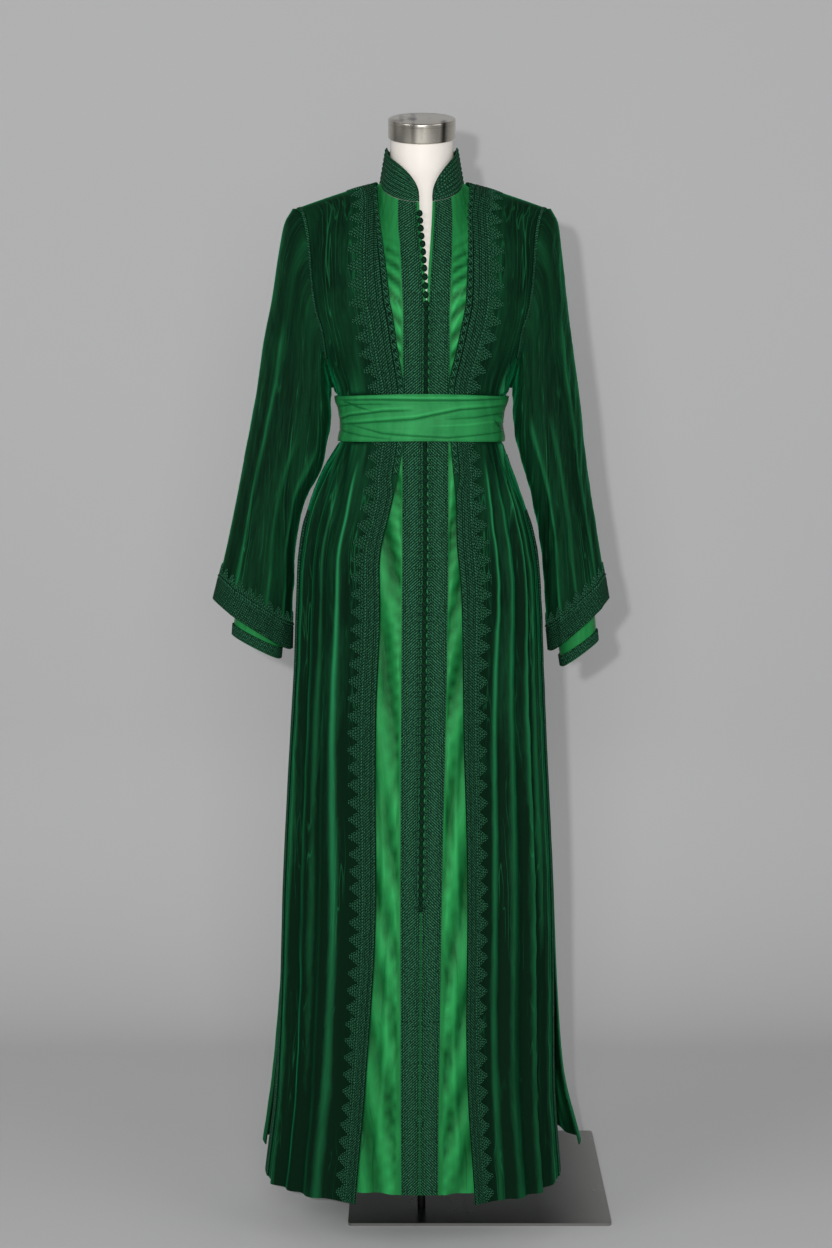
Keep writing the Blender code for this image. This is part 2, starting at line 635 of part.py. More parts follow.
def sleeve_rings(table, side, places):
    """Oval rings of a sleeve at fractional places in its table."""
    angle = 2.0 * math.pi * np.arange(SLEEVE_SIDES) / SLEEVE_SIDES
    read = {name: through(column(table, name), places)[:, None] for name in Ring._fields}
    squared = 1.0 + SQUARED * np.sin(2.0 * angle) ** 2
    swing = (1.0 + np.cos(angle) * squared) / 2.0
    depth = np.where(np.sin(angle) > 0.0, read["front"], read["back"])
    x = read["in_x"] + (read["out_x"] - read["in_x"]) * swing
    y = read["y"] - depth * np.sin(angle) * squared
    z = read["in_z"] + (read["out_z"] - read["in_z"]) * swing
    return np.stack([side * x, y, z], axis=-1)


def sleeve(table, side, seam, places, fold):
    """Sleeve from its armhole loop to its mouth."""
    rings = sleeve_rings(table, side, places)
    difference = seam - sleeve_rings(table, side, np.array([0.0]))[0]
    fade = (1.0 - ease(places / 3.0))[:, None, None]
    rings = rings + difference * fade
    centres = rings.mean(axis=1, keepdims=True)
    wave = np.cos(2.0 * math.pi * SLEEVE_FOLDS * (np.arange(SLEEVE_SIDES) + 0.5) / SLEEVE_SIDES)
    uneven = 0.7 + 0.3 * np.sin(1.3 * np.arange(SLEEVE_SIDES))
    strength = ease(places / 4.0) * (1.0 - 0.4 * ease((places - 7.0) / 2.0))
    rings = rings + unit(rings - centres) * (fold * strength[:, None] * wave * uneven)[..., None]
    run = np.array([side, 0.0, 0.0])
    first = seam + run * SLEEVE_SEAM_GAP
    second = seam + run * (SLEEVE_SEAM_GAP + SLEEVE_SEAM_RUN)
    points = np.concatenate([[first], [second], rings], axis=0)
    return Panel(points, unit(points - points.mean(axis=1, keepdims=True)))


SLEEVE_PLACES = [0.8, 1.5, 2.3, 3.2, 4.3, 5.4, 6.6]
ROBE_SLEEVE_PLACES = np.array(SLEEVE_PLACES + [7.6, 8.4, 8.7, 9.0])
DRESS_SLEEVE_PLACES = np.array(SLEEVE_PLACES[:5] + [6.0, 7.8, 8.78, 9.0])


def grid_point(grid, falls, row, place):
    """Value of a grid at a fractional row and column, read on the two triangles of its own square."""
    low = min(int(row), grid.shape[0] - 2)
    first = min(int(place), grid.shape[1] - 2)
    up = row - low
    over = place - first
    start, beside = grid[low, first], grid[low, first + 1]
    above, opposite = grid[low + 1, first], grid[low + 1, first + 1]
    if falls[low, first]:
        if over >= up:
            return start + (beside - start) * over + (opposite - beside) * up
        return start + (above - start) * up + (opposite - above) * over
    if over + up <= 1.0:
        return start + (beside - start) * over + (above - start) * up
    return opposite + (above - opposite) * (1.0 - over) + (beside - opposite) * (1.0 - up)


def strip(panel, rows, places, lift):
    """Sewn strip on a panel: its points at fractional rows and columns of the panel, moved out."""
    falls = falls_across(panel.points, panel.outward)
    normals = grid_normals(panel.points, panel.outward)
    spots = [(row, place) for row, line in zip(rows, places) for place in line]
    shape = (len(rows), len(places[0]), 3)
    on_panel = np.array([grid_point(panel.points, falls, *spot) for spot in spots]).reshape(shape)
    outward = unit(np.array([grid_point(normals, falls, *spot) for spot in spots]).reshape(shape))
    return Panel(on_panel + outward * lift, outward)


def column_gap(panel, rows, first):
    """Distance between a panel's column and the next one at fractional rows."""
    gaps = np.linalg.norm(panel.points[:, first + 1] - panel.points[:, first], axis=1)
    return np.interp(rows, np.arange(len(gaps)), gaps)


def even_rows(line, first_row, last_row, spacing, multiple=1):
    """Fractional rows along a line, evenly spaced between each two rows of the panel."""
    travelled = along(line)
    numbers = np.arange(len(travelled))
    inner = numbers[(numbers > first_row + 0.05) & (numbers < last_row - 0.05)]
    stops = np.concatenate([[first_row], inner, [last_row]])
    lengths = np.diff(np.interp(stops, numbers, travelled))
    rows = [np.array([first_row])]
    for start, end, length in zip(stops[:-1], stops[1:], lengths):
        count = max(1, round(length / spacing)) * multiple
        rows.append(np.linspace(start, end, count + 1)[1:])
    return np.concatenate(rows)


def front_braid(panel):
    """Braid on a front edge of the robe, with a toothed outer edge."""
    rows = even_rows(panel.points[:, 2], 0.0, len(ROBE_LEVELS) - 1.0, TOOTH_PITCH, multiple=2)
    levels = np.interp(rows, np.arange(len(ROBE_LEVELS)), ROBE_LEVELS)
    beside_buttons = 2.0 * ROBE_BUTTON[0] + 2.0 * BRAID_EDGE
    inner = BRAID_EDGE + (beside_buttons - BRAID_EDGE) * ease((levels - ROBE_BUTTON_END + 0.4) / 0.3)
    hollow = TOOTH_DEPTH * ((np.arange(len(rows)) + 1) % 2)
    places = np.stack(
        [
            inner / column_gap(panel, rows, 0),
            np.ones(len(rows)),
            2.0 - hollow / column_gap(panel, rows, 1),
        ],
        axis=1,
    )
    return strip(panel, rows, places, SEWN_GAP + BRAID_WALL)


def slit_braid(panel):
    """Plain braid down the slit edge of a front panel, over its last two columns."""
    rows = np.arange(0.0, SLIT_TOP + 0.5)
    last = panel.points.shape[1] - 1.0
    edge = BRAID_EDGE / column_gap(panel, rows, int(last) - 1)
    places = np.stack([np.full(len(rows), last - 2.0), np.full(len(rows), last - 1.0), last - edge], axis=1)
    return strip(panel, rows, places, SEWN_GAP + BRAID_WALL)


def armhole_braid(panel):
    """Narrow braid along the front of the armhole, over the last column."""
    first = np.argmin(np.abs(ROBE_LEVELS - UNDERARM))
    rows = np.arange(first + 1.0, len(ROBE_LEVELS) - 0.5)
    last = panel.points.shape[1] - 1.0
    edge = BRAID_EDGE / column_gap(panel, rows, int(last) - 1)
    places = np.stack([np.full(len(rows), last - 1.0), last - edge], axis=1)
    return strip(panel, rows, places, SEWN_GAP + BRAID_WALL)


def placket_braid(panel):
    """Strip of braid beside the button row of the inner kaftan, over its first two columns."""
    rows = np.arange(0.0, len(DRESS_LEVELS) - 0.5)
    rows[-1] -= 0.2
    inner = (PLACKET_BUTTON[0] + BRAID_EDGE) / column_gap(panel, rows, 0)
    places = np.stack([inner, np.ones(len(rows)), np.full(len(rows), 2.0)], axis=1)
    return strip(panel, rows, places, SEWN_GAP + BRAID_WALL)


def cuff_band(sleeve_panel, toothed):
    """Braid round a sleeve's mouth, toothed over its last two rows or plain over its last one."""
    points, outward = sleeve_panel
    tube = Panel(
        np.concatenate([points, points[:, :1]], axis=1),
        np.concatenate([outward, outward[:, :1]], axis=1),
    )
    places = np.arange(0.0, SLEEVE_SIDES, 0.5 if toothed else 1.0)
    last = len(points) - 1.0
    step = np.linalg.norm(points[-2] - points[-1], axis=1).mean()
    rows = [np.full(len(places), last - BRAID_EDGE / step)]
    if toothed:
        rise = np.linalg.norm(points[-3] - points[-2], axis=1).mean()
        hollow = TOOTH_DEPTH / rise * (np.arange(len(places)) % 2)
        rows.append(np.full(len(places), last - 1.0))
        rows.append(last - 2.0 + hollow)
    else:
        rows.append(np.full(len(places), last - 1.0))
    falls = falls_across(tube.points, tube.outward)
    normals = grid_normals(tube.points, tube.outward)
    spots = [(row, place) for line in rows for row, place in zip(line, places)]
    shape = (len(rows), len(places), 3)
    on_sleeve = np.array([grid_point(tube.points, falls, *spot) for spot in spots]).reshape(shape)
    away = unit(np.array([grid_point(normals, falls, *spot) for spot in spots]).reshape(shape))
    return Panel(on_sleeve + away * (SEWN_GAP + BRAID_WALL), away)


def under_sash(levels):
    """Share of a button's size at each level: the loops lie flat under the sash."""
    into = ease((levels - SASH_LEVELS[0] + 0.5) / 0.4)
    out = ease((levels - SASH_LEVELS[1] - 0.1) / 0.4)
    return 1.0 - (1.0 - UNDER_SASH_SIZE) * into * (1.0 - out)


def button_row(name, path, normals, size, shares, finish):
    """Row of ball buttons joined by their cord: rings carried along a path, small and large in turn."""
    heading = unit(np.gradient(path, axis=0))
    across = unit(np.cross(heading, normals))
    angle = 2.0 * math.pi * np.arange(BUTTON_SIDES) / BUTTON_SIDES
    belly = np.where(np.arange(len(path)) % 2 == 1, 1.0, 0.42) * shares
    half_width = (size[0] * belly)[:, None, None] * np.cos(angle)[None, :, None]
    half_depth = (size[1] * belly)[:, None, None] * np.sin(angle)[None, :, None]
    rings = path[:, None] + across[:, None] * half_width + normals[:, None] * half_depth
    count = len(path)
    numbers = np.arange(count * BUTTON_SIDES).reshape(count, BUTTON_SIDES)
    closed = np.concatenate([numbers, numbers[:, :1]], axis=1)
    corners = (closed[:-1, :-1], closed[:-1, 1:], closed[1:, 1:], closed[1:, :-1])
    faces = np.stack([corner.ravel() for corner in corners], axis=1).tolist()
    faces.append(numbers[0, ::-1].tolist())
    faces.append(numbers[-1].tolist())
    mesh = bpy.data.meshes.new(name)
    mesh.from_pydata(rings.reshape(-1, 3).tolist(), [], faces)
    if signed_volume(mesh) < 0.0:
        mesh.flip_normals()
    return add_object(name, mesh, finish)


def signed_volume(mesh):
    """Volume of a closed mesh, negative if its faces point in."""
    total = 0.0
    for face in mesh.polygons:
        corners = [mesh.vertices[number].co for number in face.vertices]
        for first, second in zip(corners[1:-1], corners[2:]):
            total += corners[0].dot(first.cross(second)) / 6.0
    return total


def robe_buttons(panel, side):
    """Button row on a front edge of the robe, from the shoulder to just under the sash."""
    last = len(ROBE_LEVELS) - 1.25
    rows = even_rows(panel.points[:, 0], ROBE_BUTTON_END, last, BUTTON_PITCH, multiple=2)
    levels = np.interp(rows, np.arange(len(ROBE_LEVELS)), ROBE_LEVELS)
    shares = under_sash(levels)
    places = (ROBE_BUTTON[0] + BRAID_EDGE / 2.0) / column_gap(panel, rows, 0)
    base = strip(panel, rows, places[:, None], SEWN_GAP)
    normals = base.outward[:, 0]
    path = base.points[:, 0] + normals * (ROBE_BUTTON[1] * shares)[:, None]
    name = "robe_buttons_left" if side < 0 else "robe_buttons_right"
    return button_row(name, path, normals, ROBE_BUTTON, shares, "braid")


def placket_buttons(left, right):
    """Button row down the middle of the inner kaftan, on the left edge where the opening is spread."""
    last = len(DRESS_LEVELS) - 1.35
    rows = even_rows(left.points[:, 0], PLACKET_BUTTON_ROW, last, BUTTON_PITCH, multiple=2)
    levels = np.interp(rows, np.arange(len(DRESS_LEVELS)), DRESS_LEVELS)
    shares = under_sash(levels)
    edge = np.zeros((len(rows), 1))
    edge_left = strip(left, rows, edge, SEWN_GAP)
    edge_right = strip(right, rows, edge, SEWN_GAP)
    spread = edge_right.points[:, 0] - edge_left.points[:, 0]
    gap = np.linalg.norm(spread, axis=1)
    lean = np.minimum(gap / 2.0, BRAID_EDGE) / gap
    normals = edge_left.outward[:, 0]
    path = edge_left.points[:, 0] + spread * lean[:, None]
    path = path + normals * (PLACKET_BUTTON[1] * shares)[:, None]
    return button_row("placket_buttons", path, normals, PLACKET_BUTTON, shares, "braid")


def collar(left, right, back):
    """Stand collar on the inner kaftan's neckline, open in front, with rounded front ends."""
    corner = NECK_FRONT_COLUMNS
    middle = back.points.shape[1] // 2
    halves = []
    for front in (left, right):
        line = front.points[-1, :corner]
        closer = [line[0] + (line[1] - line[0]) * share for share in (0.25, 0.6)]
        halves.append(np.concatenate([line[:1], closer, line[1:]], axis=0))
    behind = back.points[-1, middle - NECK_BACK_COLUMNS:middle + NECK_BACK_COLUMNS + 1]
    base = np.concatenate([halves[0], behind, halves[1][::-1]], axis=0)
    base[:, 2] += COLLAR_GAP
    travelled = along(base)
    from_end = np.minimum(travelled, travelled[-1] - travelled)
    rounded = np.sqrt(1.0 - (1.0 - np.clip(from_end / COLLAR_ROUND, 0.0, 1.0)) ** 2)
    height = COLLAR_HEIGHT * (0.12 + 0.88 * rounded)
    centre = np.array([0.001, 0.004, 0.0])
    inward = unit((centre - base) * np.array([1.0, 1.0, 0.0]))
    rise = np.array([0.0, 0.0, 1.0])
    rows = []
    for share in (0.0, 0.33, 0.67, 1.0):
        lean = COLLAR_LEAN * share * height / COLLAR_HEIGHT
        rows.append(base + rise * (height * share)[:, None] + inward * lean[:, None])
    points = np.array(rows)
    return Panel(points, np.broadcast_to(-inward, points.shape))


def sash():
    """Sash round the waist, with soft horizontal creases between its wraps."""
    half = SASH_SIDES // 2
    angle = np.linspace(-math.pi / 2.0, math.pi / 2.0, half + 1)
    whole = np.arange(math.floor(SASH_LEVELS[0]), math.ceil(SASH_LEVELS[1]) + 0.5)
    rings = []
    for row in whole:
        level = np.full(half + 1, row)
        parts = []
        for facing, layer, turns in ((-1, ROBE_FRONT, angle), (1, ROBE_BACK, angle[::-1])):
            normals = shell_normal(facing, layer, turns, level)
            parts.append(np.stack([shell(facing, layer, turns, level), normals], axis=1)[:-1])
        rings.append(np.concatenate(parts, axis=0))
    rings = np.array(rings)
    lines = []
    for number, row in enumerate(np.linspace(SASH_LEVELS[0], SASH_LEVELS[1], SASH_ROWS)):
        low = min(int(row - whole[0]), len(whole) - 2)
        up = row - whole[0] - low
        ring = rings[low] * (1.0 - up) + rings[low + 1] * up
        crease = SASH_CREASE * (number % 2)
        lines.append(ring[:, 0] + unit(ring[:, 1]) * (SASH_LIFT - crease))
    points = np.array(lines)
    return Panel(points, unit(points - points.mean(axis=1, keepdims=True)))


def form_body():
    """Limbless torso with its neck, just inside the inner kaftan, with flat armholes."""
    first = np.argmin(np.abs(DRESS_LEVELS - FORM_LOW_LEVEL))
    left = dress_front(-1, in_form=True).points[first:]
    right = dress_front(1, in_form=True).points[first:]
    front = np.concatenate([left[:, ::-1], right], axis=1)
    back = dress_back(in_form=True).points[first:]
    for grid in (front, back):
        grid[0, :, 2] = FORM_LOW_Z
    wings = FORM_SHOULDER_COLUMNS
    front[-1, :wings, 1] = 0.0
    front[-1, -wings:, 1] = 0.0
    back[-1, :wings] = front[-1, :wings]
    back[-1, -wings:] = front[-1, -wings:]
    for grid in (front, back):
        for row, share in ((-1, 1.0), (-2, 0.5)):
            spots = grid[row, wings - 1:1 - wings]
            spots -= unit(spots * np.array([1.0, 1.0, 0.0])) * FORM_NECK_GAP * share

    shape = bmesh.new()
    for grid, facing in ((front, -1.0), (back, 1.0)):
        add_grid(shape, grid, np.broadcast_to([0.0, facing, 0.3], grid.shape))
    for place in (0, -1):
        side = np.stack([front[:, place], back[:, place]], axis=1)
        add_grid(shape, side, np.broadcast_to([1.0, 0.0, 0.0], side.shape))
    neckline = np.concatenate([front[-1, wings - 1:-wings + 1], back[-1, wings:-wings][::-1]], axis=0)
    angle = np.arctan2(neckline[:, 0], -neckline[:, 1])
    rings = [neckline]
    for ring in NECK:
        depth = np.where(np.cos(angle) > 0.0, ring.front, -ring.back) * np.cos(angle)
        spots = np.stack([ring.half * np.sin(angle), depth, ring.z + ring.tilt * depth], axis=1)
        rings.append(spots)
    rings = np.array(rings)
    rings = np.concatenate([rings, rings[:, :1]], axis=1)
    add_grid(shape, rings, rings * np.array([1.0, 1.0, 0.0]))
    shape.faces.new([shape.verts.new(spot) for spot in rings[-1, :-1]])
    rim = np.concatenate([front[0], back[0][::-1]], axis=0)
    shape.faces.new([shape.verts.new(spot) for spot in rim])
    bmesh.ops.remove_doubles(shape, verts=shape.verts, dist=SAME_PLACE)
    bmesh.ops.recalc_face_normals(shape, faces=shape.faces)
    mesh = bpy.data.meshes.new("form_body")
    shape.to_mesh(mesh)
    shape.free()
    mesh.shade_smooth()
    if signed_volume(mesh) < 0.0:
        mesh.flip_normals()
    return add_object("form_body", mesh, "form_skin")


def add_grid(shape, grid, outward):
    """Add a grid of points to a bmesh as triangles, apart from those whose corners are in one line."""
    flat = grid.reshape(-1, 3)
    spots = [shape.verts.new(spot) for spot in flat]
    numbers = np.arange(len(flat)).reshape(grid.shape[:2])
    faces = grid_faces(numbers, falls_across(grid, outward))
    first, second = flat[faces[:, 1]] - flat[faces[:, 0]], flat[faces[:, 2]] - flat[faces[:, 0]]
    areas = np.linalg.norm(np.cross(first, second), axis=1)
    for face in faces[areas > NO_AREA]:
        shape.faces.new([spots[number] for number in face])


def place_primitive(name, finish):
    """Name the primitive just added, give it a finish and move it to the garment's collection."""
    piece = bpy.context.active_object
    piece.name = name
    piece.data.name = name
    piece.data.materials.append(finish_material(finish))
    for collection in list(piece.users_collection):
        collection.objects.unlink(piece)
    bpy.data.collections[COLLECTION].objects.link(piece)
    return piece


def stand():
    """Base plate, pole and neck cap."""
    bpy.ops.mesh.primitive_cube_add(size=1.0, location=(*PLATE_CENTRE, PLATE_THICK / 2.0))
    plate = place_primitive("base_plate", "brushed_steel")
    plate.data.transform(((PLATE_SIDE, 0, 0, 0), (0, PLATE_SIDE, 0, 0), (0, 0, PLATE_THICK, 0), (0, 0, 0, 1)))
    corner = plate.modifiers.new("corner", "BEVEL")
    corner.width = PLATE_CORNER
    corner.segments = 3
    corner.limit_method = "WEIGHT"
    weights = plate.data.attributes.new("bevel_weight_edge", "FLOAT", "EDGE")
    for edge in plate.data.edges:
        ends = [plate.data.vertices[number].co for number in edge.vertices]
        weights.data[edge.index].value = 1.0 if abs(ends[0].z - ends[1].z) > PLATE_THICK / 2.0 else 0.0

    low = PLATE_THICK + TOUCH
    high = FORM_LOW_Z - TOUCH
    bpy.ops.mesh.primitive_cylinder_add(
        vertices=16, radius=POLE_RADIUS, depth=high - low, location=(0.0, 0.0, (high + low) / 2.0)
    )
    pole = place_primitive("stand_pole", "brushed_steel")
    pole.data.shade_smooth()
    pole.data.set_sharp_from_angle(angle=math.radians(40.0))

    rise = CAP_HEIGHT / 2.0
    centre = (0.0, -rise * math.sin(HEAD_TILT), NECK_TOP_Z + rise * math.cos(HEAD_TILT))
    bpy.ops.mesh.primitive_cylinder_add(
        vertices=24, radius=CAP_RADIUS, depth=CAP_HEIGHT, location=centre, rotation=(HEAD_TILT, 0.0, 0.0)
    )
    cap = place_primitive("neck_cap", "brushed_steel")
    edge = cap.modifiers.new("edge", "BEVEL")
    edge.width = CAP_EDGE
    edge.segments = 1
    edge.limit_method = "ANGLE"
    edge.angle_limit = math.radians(40.0)


def build():
    """Make every piece, inner layer first."""
    for piece in list(bpy.data.objects):
        bpy.data.objects.remove(piece, do_unlink=True)
    collection = bpy.data.collections.new(COLLECTION)
    bpy.context.scene.collection.children.link(collection)

    stand()
    form_body()

    inner_back = dress_back()
    cloth("dress_back", *inner_back, DRESS_WALL, "satin")
    outer_back = robe_back()
    cloth("robe_back", *outer_back, ROBE_WALL, "velvet")
    cloth("sash", *sash(), SASH_WALL, "sash_satin", closed=True)

    inner_fronts = {}
    for side, word in ((-1, "left"), (1, "right")):
        inner = dress_front(side)
        inner_fronts[word] = inner
        cloth("dress_front_" + word, *inner, DRESS_WALL, "satin")
        cloth("placket_braid_" + word, *placket_braid(inner), BRAID_WALL, "braid")

        outer = robe_front(side)
        cloth("robe_front_" + word, *outer, ROBE_WALL, "velvet")
        cloth("robe_front_braid_" + word, *front_braid(outer), BRAID_WALL, "braid")
        cloth("robe_slit_braid_" + word, *slit_braid(outer), BRAID_WALL, "braid")
        cloth("robe_armhole_braid_" + word, *armhole_braid(outer), BRAID_WALL, "braid")
        robe_buttons(outer, side)

        back_column = 0 if side < 0 else -1
        seam = armhole(outer.points[:, -1], outer_back.points[:, back_column], ROBE_LEVELS, UNDERARM)
        table = ROBE_SLEEVE_LEFT if side < 0 else ROBE_SLEEVE_RIGHT
        robe_sleeve = sleeve(table, side, seam, ROBE_SLEEVE_PLACES, ROBE_SLEEVE_FOLD)
        cloth("robe_sleeve_" + word, *robe_sleeve, ROBE_WALL, "velvet", closed=True)
        band = cuff_band(robe_sleeve, toothed=True)
        cloth("robe_cuff_braid_" + word, *band, BRAID_WALL, "braid", closed=True)

        seam = armhole(inner.points[:, -1], inner_back.points[:, back_column], DRESS_LEVELS, UNDERARM)
        table = DRESS_SLEEVE_LEFT if side < 0 else DRESS_SLEEVE_RIGHT
        dress_sleeve = sleeve(table, side, seam, DRESS_SLEEVE_PLACES, 0.0)
        cloth("dress_sleeve_" + word, *dress_sleeve, DRESS_WALL, "satin", closed=True)
        band = cuff_band(dress_sleeve, toothed=False)
        cloth("dress_cuff_braid_" + word, *band, BRAID_WALL, "braid", closed=True)

    placket_buttons(inner_fronts["left"], inner_fronts["right"])
    neck_band = collar(inner_fronts["left"], inner_fronts["right"], inner_back)
    cloth("dress_collar", *neck_band, COLLAR_WALL, "braid")


build()
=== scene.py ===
"""Looks of a two-layer Moroccan kaftan and its sash on a limbless dress form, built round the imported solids.

Every cloth surface is a function of two parameters: the turn round the body (0 at the middle, a quarter
turn at the side seam) and the level (0 at the hem, 15 at the shoulder). Braid, cords and buttons are placed
on the cloth by their length along an edge and their distance from it. Metres, X to the viewer's right, Y to
the back, Z up.
"""

import logging
import math
from collections.abc import Sequence
from dataclasses import dataclass, replace
from enum import Enum
from typing import Protocol

import bmesh
import bpy
import numpy as np
from numpy.typing import NDArray
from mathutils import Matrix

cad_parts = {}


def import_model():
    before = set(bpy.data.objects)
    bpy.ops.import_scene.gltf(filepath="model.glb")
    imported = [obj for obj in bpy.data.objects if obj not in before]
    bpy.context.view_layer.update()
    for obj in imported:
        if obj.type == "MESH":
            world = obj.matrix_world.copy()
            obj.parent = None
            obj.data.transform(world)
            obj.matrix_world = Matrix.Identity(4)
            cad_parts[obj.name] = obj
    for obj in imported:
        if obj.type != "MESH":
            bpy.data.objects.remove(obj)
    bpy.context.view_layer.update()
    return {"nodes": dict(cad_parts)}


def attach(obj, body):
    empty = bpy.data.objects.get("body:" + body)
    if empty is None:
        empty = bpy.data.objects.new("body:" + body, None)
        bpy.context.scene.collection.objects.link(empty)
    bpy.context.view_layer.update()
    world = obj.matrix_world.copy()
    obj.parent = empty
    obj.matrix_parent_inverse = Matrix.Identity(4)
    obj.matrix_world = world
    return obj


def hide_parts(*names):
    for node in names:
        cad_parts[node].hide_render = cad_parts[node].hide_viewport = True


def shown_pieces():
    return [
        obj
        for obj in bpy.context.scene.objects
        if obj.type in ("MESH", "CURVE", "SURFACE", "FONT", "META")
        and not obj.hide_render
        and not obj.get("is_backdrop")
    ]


LOG = logging.getLogger("kaftan")
Numbers = NDArray[np.float64]
Whole = NDArray[np.int64]

ROBE_WALL = 0.0018
DRESS_WALL = 0.0012
BRAID_WALL = 0.0012
SASH_WALL = 0.0018
COLLAR_WALL = 0.0020
DRESS_LIFT = -0.0046
DRESS_SKIRT_LIFT = -0.0120
DRESS_SHOULDER_LIFT = -0.0022
SEWN_GAP = 0.0004
NECK_HALF = 0.063
NECK_SIDE_Z = 1.483
NECK_TURN = math.radians(25.0)
SHOULDER_HALF = 0.1745
SHOULDER_Z = 1.4465
SHOULDER_GAP = 0.0010
NECK_CORNER_GAP = 0.0008
SEAM_TURN = 0.003
SQUARED = 0.05
SLIT_TOP = 8.0
SKIRT_END = 9.5
GATHER = 0.0019
SASH_LOW = 10.0
SASH_HIGH = 11.75
UNDERARM = 12.0
CHEST = 14.0
TOP = 15.0
SLIT_BRAID = 0.038
ARMHOLE_BRAID = 0.022
COLLAR_HEIGHT = 0.047
COLLAR_ROUND = 0.050
COLLAR_LEAN = 0.0080
HEAD_TILT = math.radians(15.0)


class Side(Enum):
    """Half of the garment that a piece is on. The value is the sign of X there."""

    LEFT = -1
    RIGHT = 1

    @property
    def word(self) -> str:
        """The half's word in node names."""
        return self.name.lower()


# One ring of cloth to a row: z_mid z_side left right y_mid y_side, from the hem to the chest
ROBE_FRONT_ROWS = np.array(
    [
        [0.078, 0.076, 0.224, 0.199, -0.174, -0.030],
        [0.205, 0.200, 0.209, 0.190, -0.167, -0.022],
        [0.350, 0.346, 0.201, 0.188, -0.161, -0.014],
        [0.504, 0.500, 0.196, 0.185, -0.155, -0.009],
        [0.670, 0.670, 0.187, 0.177, -0.148, -0.005],
        [0.800, 0.800, 0.179, 0.171, -0.142, -0.003],
        [0.900, 0.900, 0.175, 0.167, -0.137, -0.001],
        [0.970, 0.970, 0.171, 0.161, -0.131, 0.000],
        [1.030, 1.030, 0.160, 0.147, -0.123, 0.000],
        [1.085, 1.083, 0.139, 0.128, -0.112, 0.000],
        [1.130, 1.125, 0.1135, 0.1120, -0.104, 0.000],
        [1.165, 1.160, 0.1095, 0.1085, -0.101, 0.000],
        [1.206, 1.200, 0.1210, 0.1210, -0.105, 0.000],
        [1.258, 1.240, 0.1340, 0.1340, -0.113, -0.026],
        [1.320, 1.290, 0.1490, 0.1500, -0.117, -0.036],
    ]
)
ROBE_BACK_ROWS = np.array(
    [
        [0.092, 0.088, 0.233, 0.235, 0.168, 0.034],
        [0.205, 0.200, 0.217, 0.208, 0.162, 0.020],
        [0.350, 0.346, 0.204, 0.196, 0.156, 0.010],
        [0.504, 0.500, 0.198, 0.189, 0.151, 0.005],
        [0.670, 0.670, 0.189, 0.180, 0.145, 0.003],
        [0.800, 0.800, 0.180, 0.172, 0.139, 0.002],
        [0.900, 0.900, 0.176, 0.168, 0.133, 0.001],
        [0.970, 0.970, 0.171, 0.161, 0.126, 0.000],
        [1.030, 1.030, 0.160, 0.147, 0.117, 0.000],
        [1.085, 1.083, 0.139, 0.128, 0.104, 0.000],
        [1.130, 1.125, 0.1135, 0.1120, 0.090, 0.000],
        [1.165, 1.160, 0.1095, 0.1085, 0.084, 0.000],
        [1.206, 1.200, 0.1210, 0.1210, 0.088, 0.000],
        [1.258, 1.240, 0.1340, 0.1340, 0.094, 0.022],
        [1.320, 1.290, 0.1490, 0.1500, 0.097, 0.030],
    ]
)
DRESS_SKIRT_ROWS = np.array(
    [
        [0.082, 0.088, 0.206, 0.196, -0.163, 0.0],
        [0.205, 0.200, 0.200, 0.190, -0.160, 0.0],
        [0.350, 0.346, 0.195, 0.187, -0.156, 0.0],
        [0.504, 0.500, 0.191, 0.183, -0.151, 0.0],
        [0.670, 0.670, 0.184, 0.176, -0.145, 0.0],
        [0.800, 0.800, 0.178, 0.170, -0.140, 0.0],
        [0.900, 0.900, 0.174, 0.166, -0.135, 0.0],
        [0.970, 0.970, 0.170, 0.160, -0.130, 0.0],
    ]
)

# Front edges, hem to shoulder: robe_left robe_right dress_middle dress_gap braid_left braid_right
EDGES = np.array(
    [
        [0.090, 0.070, -0.003, 0.0003, 0.031, 0.026],
        [0.077, 0.065, -0.003, 0.0003, 0.033, 0.027],
        [0.070, 0.061, -0.002, 0.0003, 0.036, 0.028],
        [0.063, 0.059, -0.001, 0.0003, 0.038, 0.029],
        [0.060, 0.058, 0.001, 0.0003, 0.040, 0.032],
        [0.060, 0.057, 0.003, 0.0003, 0.041, 0.035],
        [0.058, 0.052, 0.004, 0.0003, 0.041, 0.042],
        [0.055, 0.048, 0.005, 0.0003, 0.040, 0.046],
        [0.044, 0.047, 0.005, 0.0003, 0.041, 0.042],
        [0.032, 0.043, 0.005, 0.0003, 0.045, 0.040],
        [0.0255, 0.039, 0.005, 0.0003, 0.047, 0.041],
        [0.0245, 0.037, 0.006, 0.0003, 0.048, 0.043],
        [0.025, 0.036, 0.006, 0.0003, 0.050, 0.046],
        [0.033, 0.047, 0.006, 0.0003, 0.053, 0.050],
        [0.043, 0.059, 0.006, 0.0005, 0.055, 0.052],
        [0.064, 0.066, 0.006, 0.0100, 0.048, 0.046],
    ]
)
EDGE_FLARE = (0.010, 0.009, 0.008, 0.007, 0.006, 0.005, 0.004, 0.003, 0.002) + (0.0,) * 7
ROBE_FOLD = (0.0052, 0.0050, 0.0046, 0.0042, 0.0038, 0.0034, 0.0032, 0.0030, 0.0026, 0.0014) + (0.0,) * 6
DRESS_FOLD = (0.0026, 0.0024, 0.0022, 0.0020, 0.0018, 0.0016, 0.0014, 0.0010) + (0.0,) * 8
SIDE_TURN = (90.0,) * 13 + (74.0, 68.0, 90.0)

